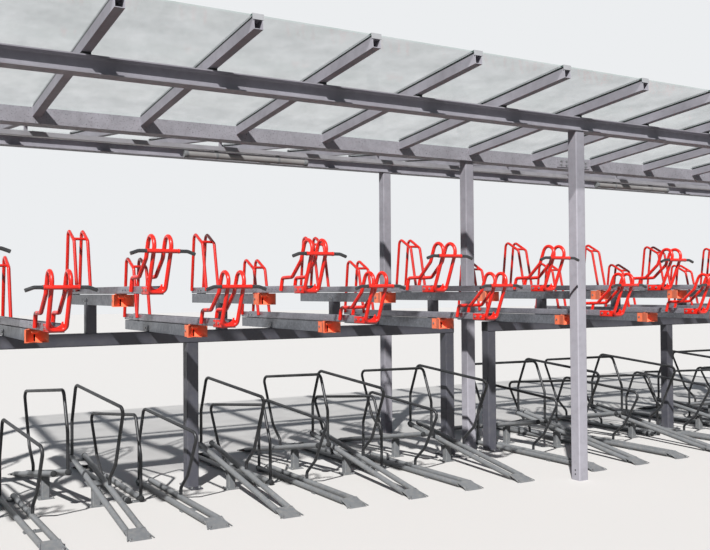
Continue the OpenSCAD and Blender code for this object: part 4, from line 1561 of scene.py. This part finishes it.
    def rail_bolts(self) -> Piece:
        """Bolt the ramps down, and the cross plates and foot plates of the rails.

        Returns:
            All the bolts as one piece.
        """
        x, y, z = self.ramp_bolt
        foot = self.foot_bolt
        ramp = [facing((s * x, self.rail_front + y, z), self.ramp_normal) for s in (-1, 1)]
        feet = [facing((s * foot, self.rail_post_y + t * foot, self.foot_bolt_z), (0, 0, 1))
                for s in (-1, 1) for t in (-1, 1)]
        cross = [facing((0, y, self.cross_bolt_z), (0, 0, 1)) for y in self.cross_bolt_y]
        moves = [place @ move for place, raised in self.rails()
                 for move in ramp + (feet if raised else cross)]
        pattern = bolt("rail_bolt", self.rail_bolt_across, self.rail_bolt_washer)
        return scattered("rail_bolts", pattern, moves)

    def ramp_lips(self) -> Piece:
        """Weld the guide lips that narrow each ramp towards its rail.

        Returns:
            All the lips as one piece.
        """
        (wide, front, low), (narrow, back) = self.ramp_lip_low, self.ramp_lip_high
        high = self.rail_z + self.rail_r - self.ramp_lip_sink
        pair = [rod("ramp_lip", (s * wide, self.rail_front + front, low),
                    (s * narrow, self.rail_front + back, high), self.ramp_lip_r, sides=8)
                for s in (-1, 1)]
        places = [place for place, _ in self.rails()]
        return scattered("ramp_lips", joined("ramp_lip", pair), places)

    def build(self) -> None:
        """Set out every fitting of the rack and the rails."""
        settle(self.anchors(), Palette.ZINC)
        settle(self.post_seams(), Palette.RACK)
        settle(self.track_brackets(), Palette.TRACK)
        settle(self.track_bolts(), Palette.ZINC)
        settle(self.end_plugs(), Palette.RUBBER)
        settle(self.rail_caps(), Palette.RUBBER)
        settle(self.rail_bolts(), Palette.ZINC)
        settle(self.ramp_lips(), Palette.RAIL)


# ---------------------------------------------------------------------------------------------
# Studio
# ---------------------------------------------------------------------------------------------


@dataclass(frozen=True)
class Viewpoint:
    """The camera at the photograph's viewing angle."""

    place: Point = (-5.489, -7.040, 1.6)
    yaw: float = 30.783
    pitch: float = 1.0153
    roll: float = -0.3954
    focal_px: float = 895.7
    width_px: int = 710
    sensor_mm: float = 36.0
    sight: float = 200.0

    def build(self) -> None:
        """Create the camera and make it the scene's own."""
        yaw, pitch, roll = (math.radians(a) for a in (self.yaw, self.pitch, self.roll))
        ahead = Vector((math.sin(yaw) * math.cos(pitch), math.cos(yaw) * math.cos(pitch),
                        math.sin(pitch)))
        right = Vector((math.cos(yaw), -math.sin(yaw), 0.0))
        up = right.cross(ahead)
        turned_right = math.cos(roll) * right + math.sin(roll) * up
        turned_up = math.cos(roll) * up - math.sin(roll) * right
        camera = bpy.data.cameras.new("viewpoint")
        camera.sensor_width = self.sensor_mm
        camera.lens = self.sensor_mm * self.focal_px / self.width_px
        camera.clip_end = self.sight
        placed = bpy.data.objects.new("viewpoint", camera)
        turn = Matrix((turned_right, turned_up, -ahead)).transposed().to_4x4()
        placed.matrix_world = Matrix.Translation(self.place) @ turn
        bpy.context.scene.collection.objects.link(placed)
        bpy.context.scene.camera = placed


@dataclass(frozen=True)
class Studio:
    """A pale floor, a pale surround, a sun from the upper left and a faint blue sky."""

    floor_colour: str = "#d2cfcb"
    # Light that falls on the floor meets this darker paving, so that undersides stay dark.
    paving_colour: str = "#4c4a47"
    floor_half: float = 60.0
    floor_roughness: float = 0.9
    surround_colour: str = "#eceef0"
    sun_way: Point = (0.80, 0.90, -1.0)
    sun_energy: float = 5.9
    sun_softness: float = 1.2
    sky_strength: float = 0.17
    sky_colour: str = "#c6d7f3"

    def build(self) -> None:
        """Create the floor, the lamp and the world."""
        bpy.context.scene.view_settings.view_transform = "Standard"
        self.build_floor()
        self.build_sun()
        self.build_world()

    def build_floor(self) -> None:
        """Lay the floor under the shelter."""
        bpy.ops.mesh.primitive_plane_add(size=2 * self.floor_half, location=(0, 0, 0))
        floor = bpy.context.object
        floor.name = "studio_floor"
        material = bpy.data.materials.new("pale_floor")
        material.use_nodes = True
        tree = material.node_tree
        shader = tree.nodes["Principled BSDF"]
        colour = add_node(tree, "ShaderNodeMix", {
            MIX_FACTOR: self.seen(tree), MIX_FIRST: linear(self.paving_colour),
            MIX_SECOND: linear(self.floor_colour)
        }, data_type="RGBA")
        tree.links.new(colour.outputs[MIX_RESULT], shader.inputs["Base Color"])
        shader.inputs["Roughness"].default_value = self.floor_roughness
        floor.data.materials.append(material)

    @staticmethod
    def seen(tree: Tree) -> Any:
        """Tell a ray of the eye from a ray of light.

        Args:
            tree: The node tree.

        Returns:
            The socket that is 1 where it is seen, also in metal and through glass, else 0.
        """
        path = add_node(tree, "ShaderNodeLightPath")
        seen = path.outputs["Is Camera Ray"]
        for kind in ("Is Glossy Ray", "Is Transmission Ray"):
            seen = add_node(tree, "ShaderNodeMath", {0: seen, 1: path.outputs[kind]},
                            operation="MAXIMUM").outputs[0]
        return seen

    def build_sun(self) -> None:
        """Hang the sun at the upper left, in front, where the photograph's shadows put it."""
        lamp = bpy.data.lights.new("key_light", "SUN")
        lamp.energy = self.sun_energy
        lamp.angle = math.radians(self.sun_softness)
        sun = bpy.data.objects.new("key_light", lamp)
        sun.rotation_euler = Vector(self.sun_way).to_track_quat("-Z", "Y").to_euler()
        bpy.context.scene.collection.objects.link(sun)

    def build_world(self) -> None:
        """Surround the scene with an even sky that the camera sees as a pale backdrop."""
        world = bpy.data.worlds.new("studio")
        world.use_nodes = True
        tree = world.node_tree
        tree.nodes.clear()
        seen = self.seen(tree)
        strength = add_node(tree, "ShaderNodeMapRange", {
            "Value": seen, "To Min": self.sky_strength, "To Max": 1.0
        })
        colour = add_node(tree, "ShaderNodeMix", {
            MIX_FACTOR: seen, MIX_FIRST: linear(self.sky_colour),
            MIX_SECOND: linear(self.surround_colour)
        }, data_type="RGBA")
        sky = add_node(tree, "ShaderNodeBackground", {
            "Color": colour.outputs[MIX_RESULT], "Strength": strength.outputs[0]
        })
        add_node(tree, "ShaderNodeOutputWorld", {"Surface": sky.outputs[0]})
        bpy.context.scene.world = world


def dress_frame_nodes(nodes: dict[str, Piece]) -> None:
    """Give every carried-over node its finish."""
    for finish, names in NODE_FINISHES.items():
        for name in names:
            paint(nodes[name], finish)


def report_pieces() -> None:
    """Log each piece with its count of faces."""
    for piece in bpy.data.objects:
        if piece.type == "MESH":
            LOG.info("%s: %d faces", piece.name, len(piece.data.polygons))


def main() -> None:
    """Build the dressed shelter and report its pieces."""
    logging.basicConfig(level=logging.INFO, format="%(name)s: %(message)s")
    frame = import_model()
    Viewpoint().build()
    Studio().build()
    dress_frame_nodes(frame["nodes"])
    layout = Layout()
    tray = UpperTray()
    tray.build_kit()
    tray.set_out(layout)
    RoofFittings().build()
    RackFittings(layout).build()
    report_pieces()


if __name__ == "__main__":
    main()
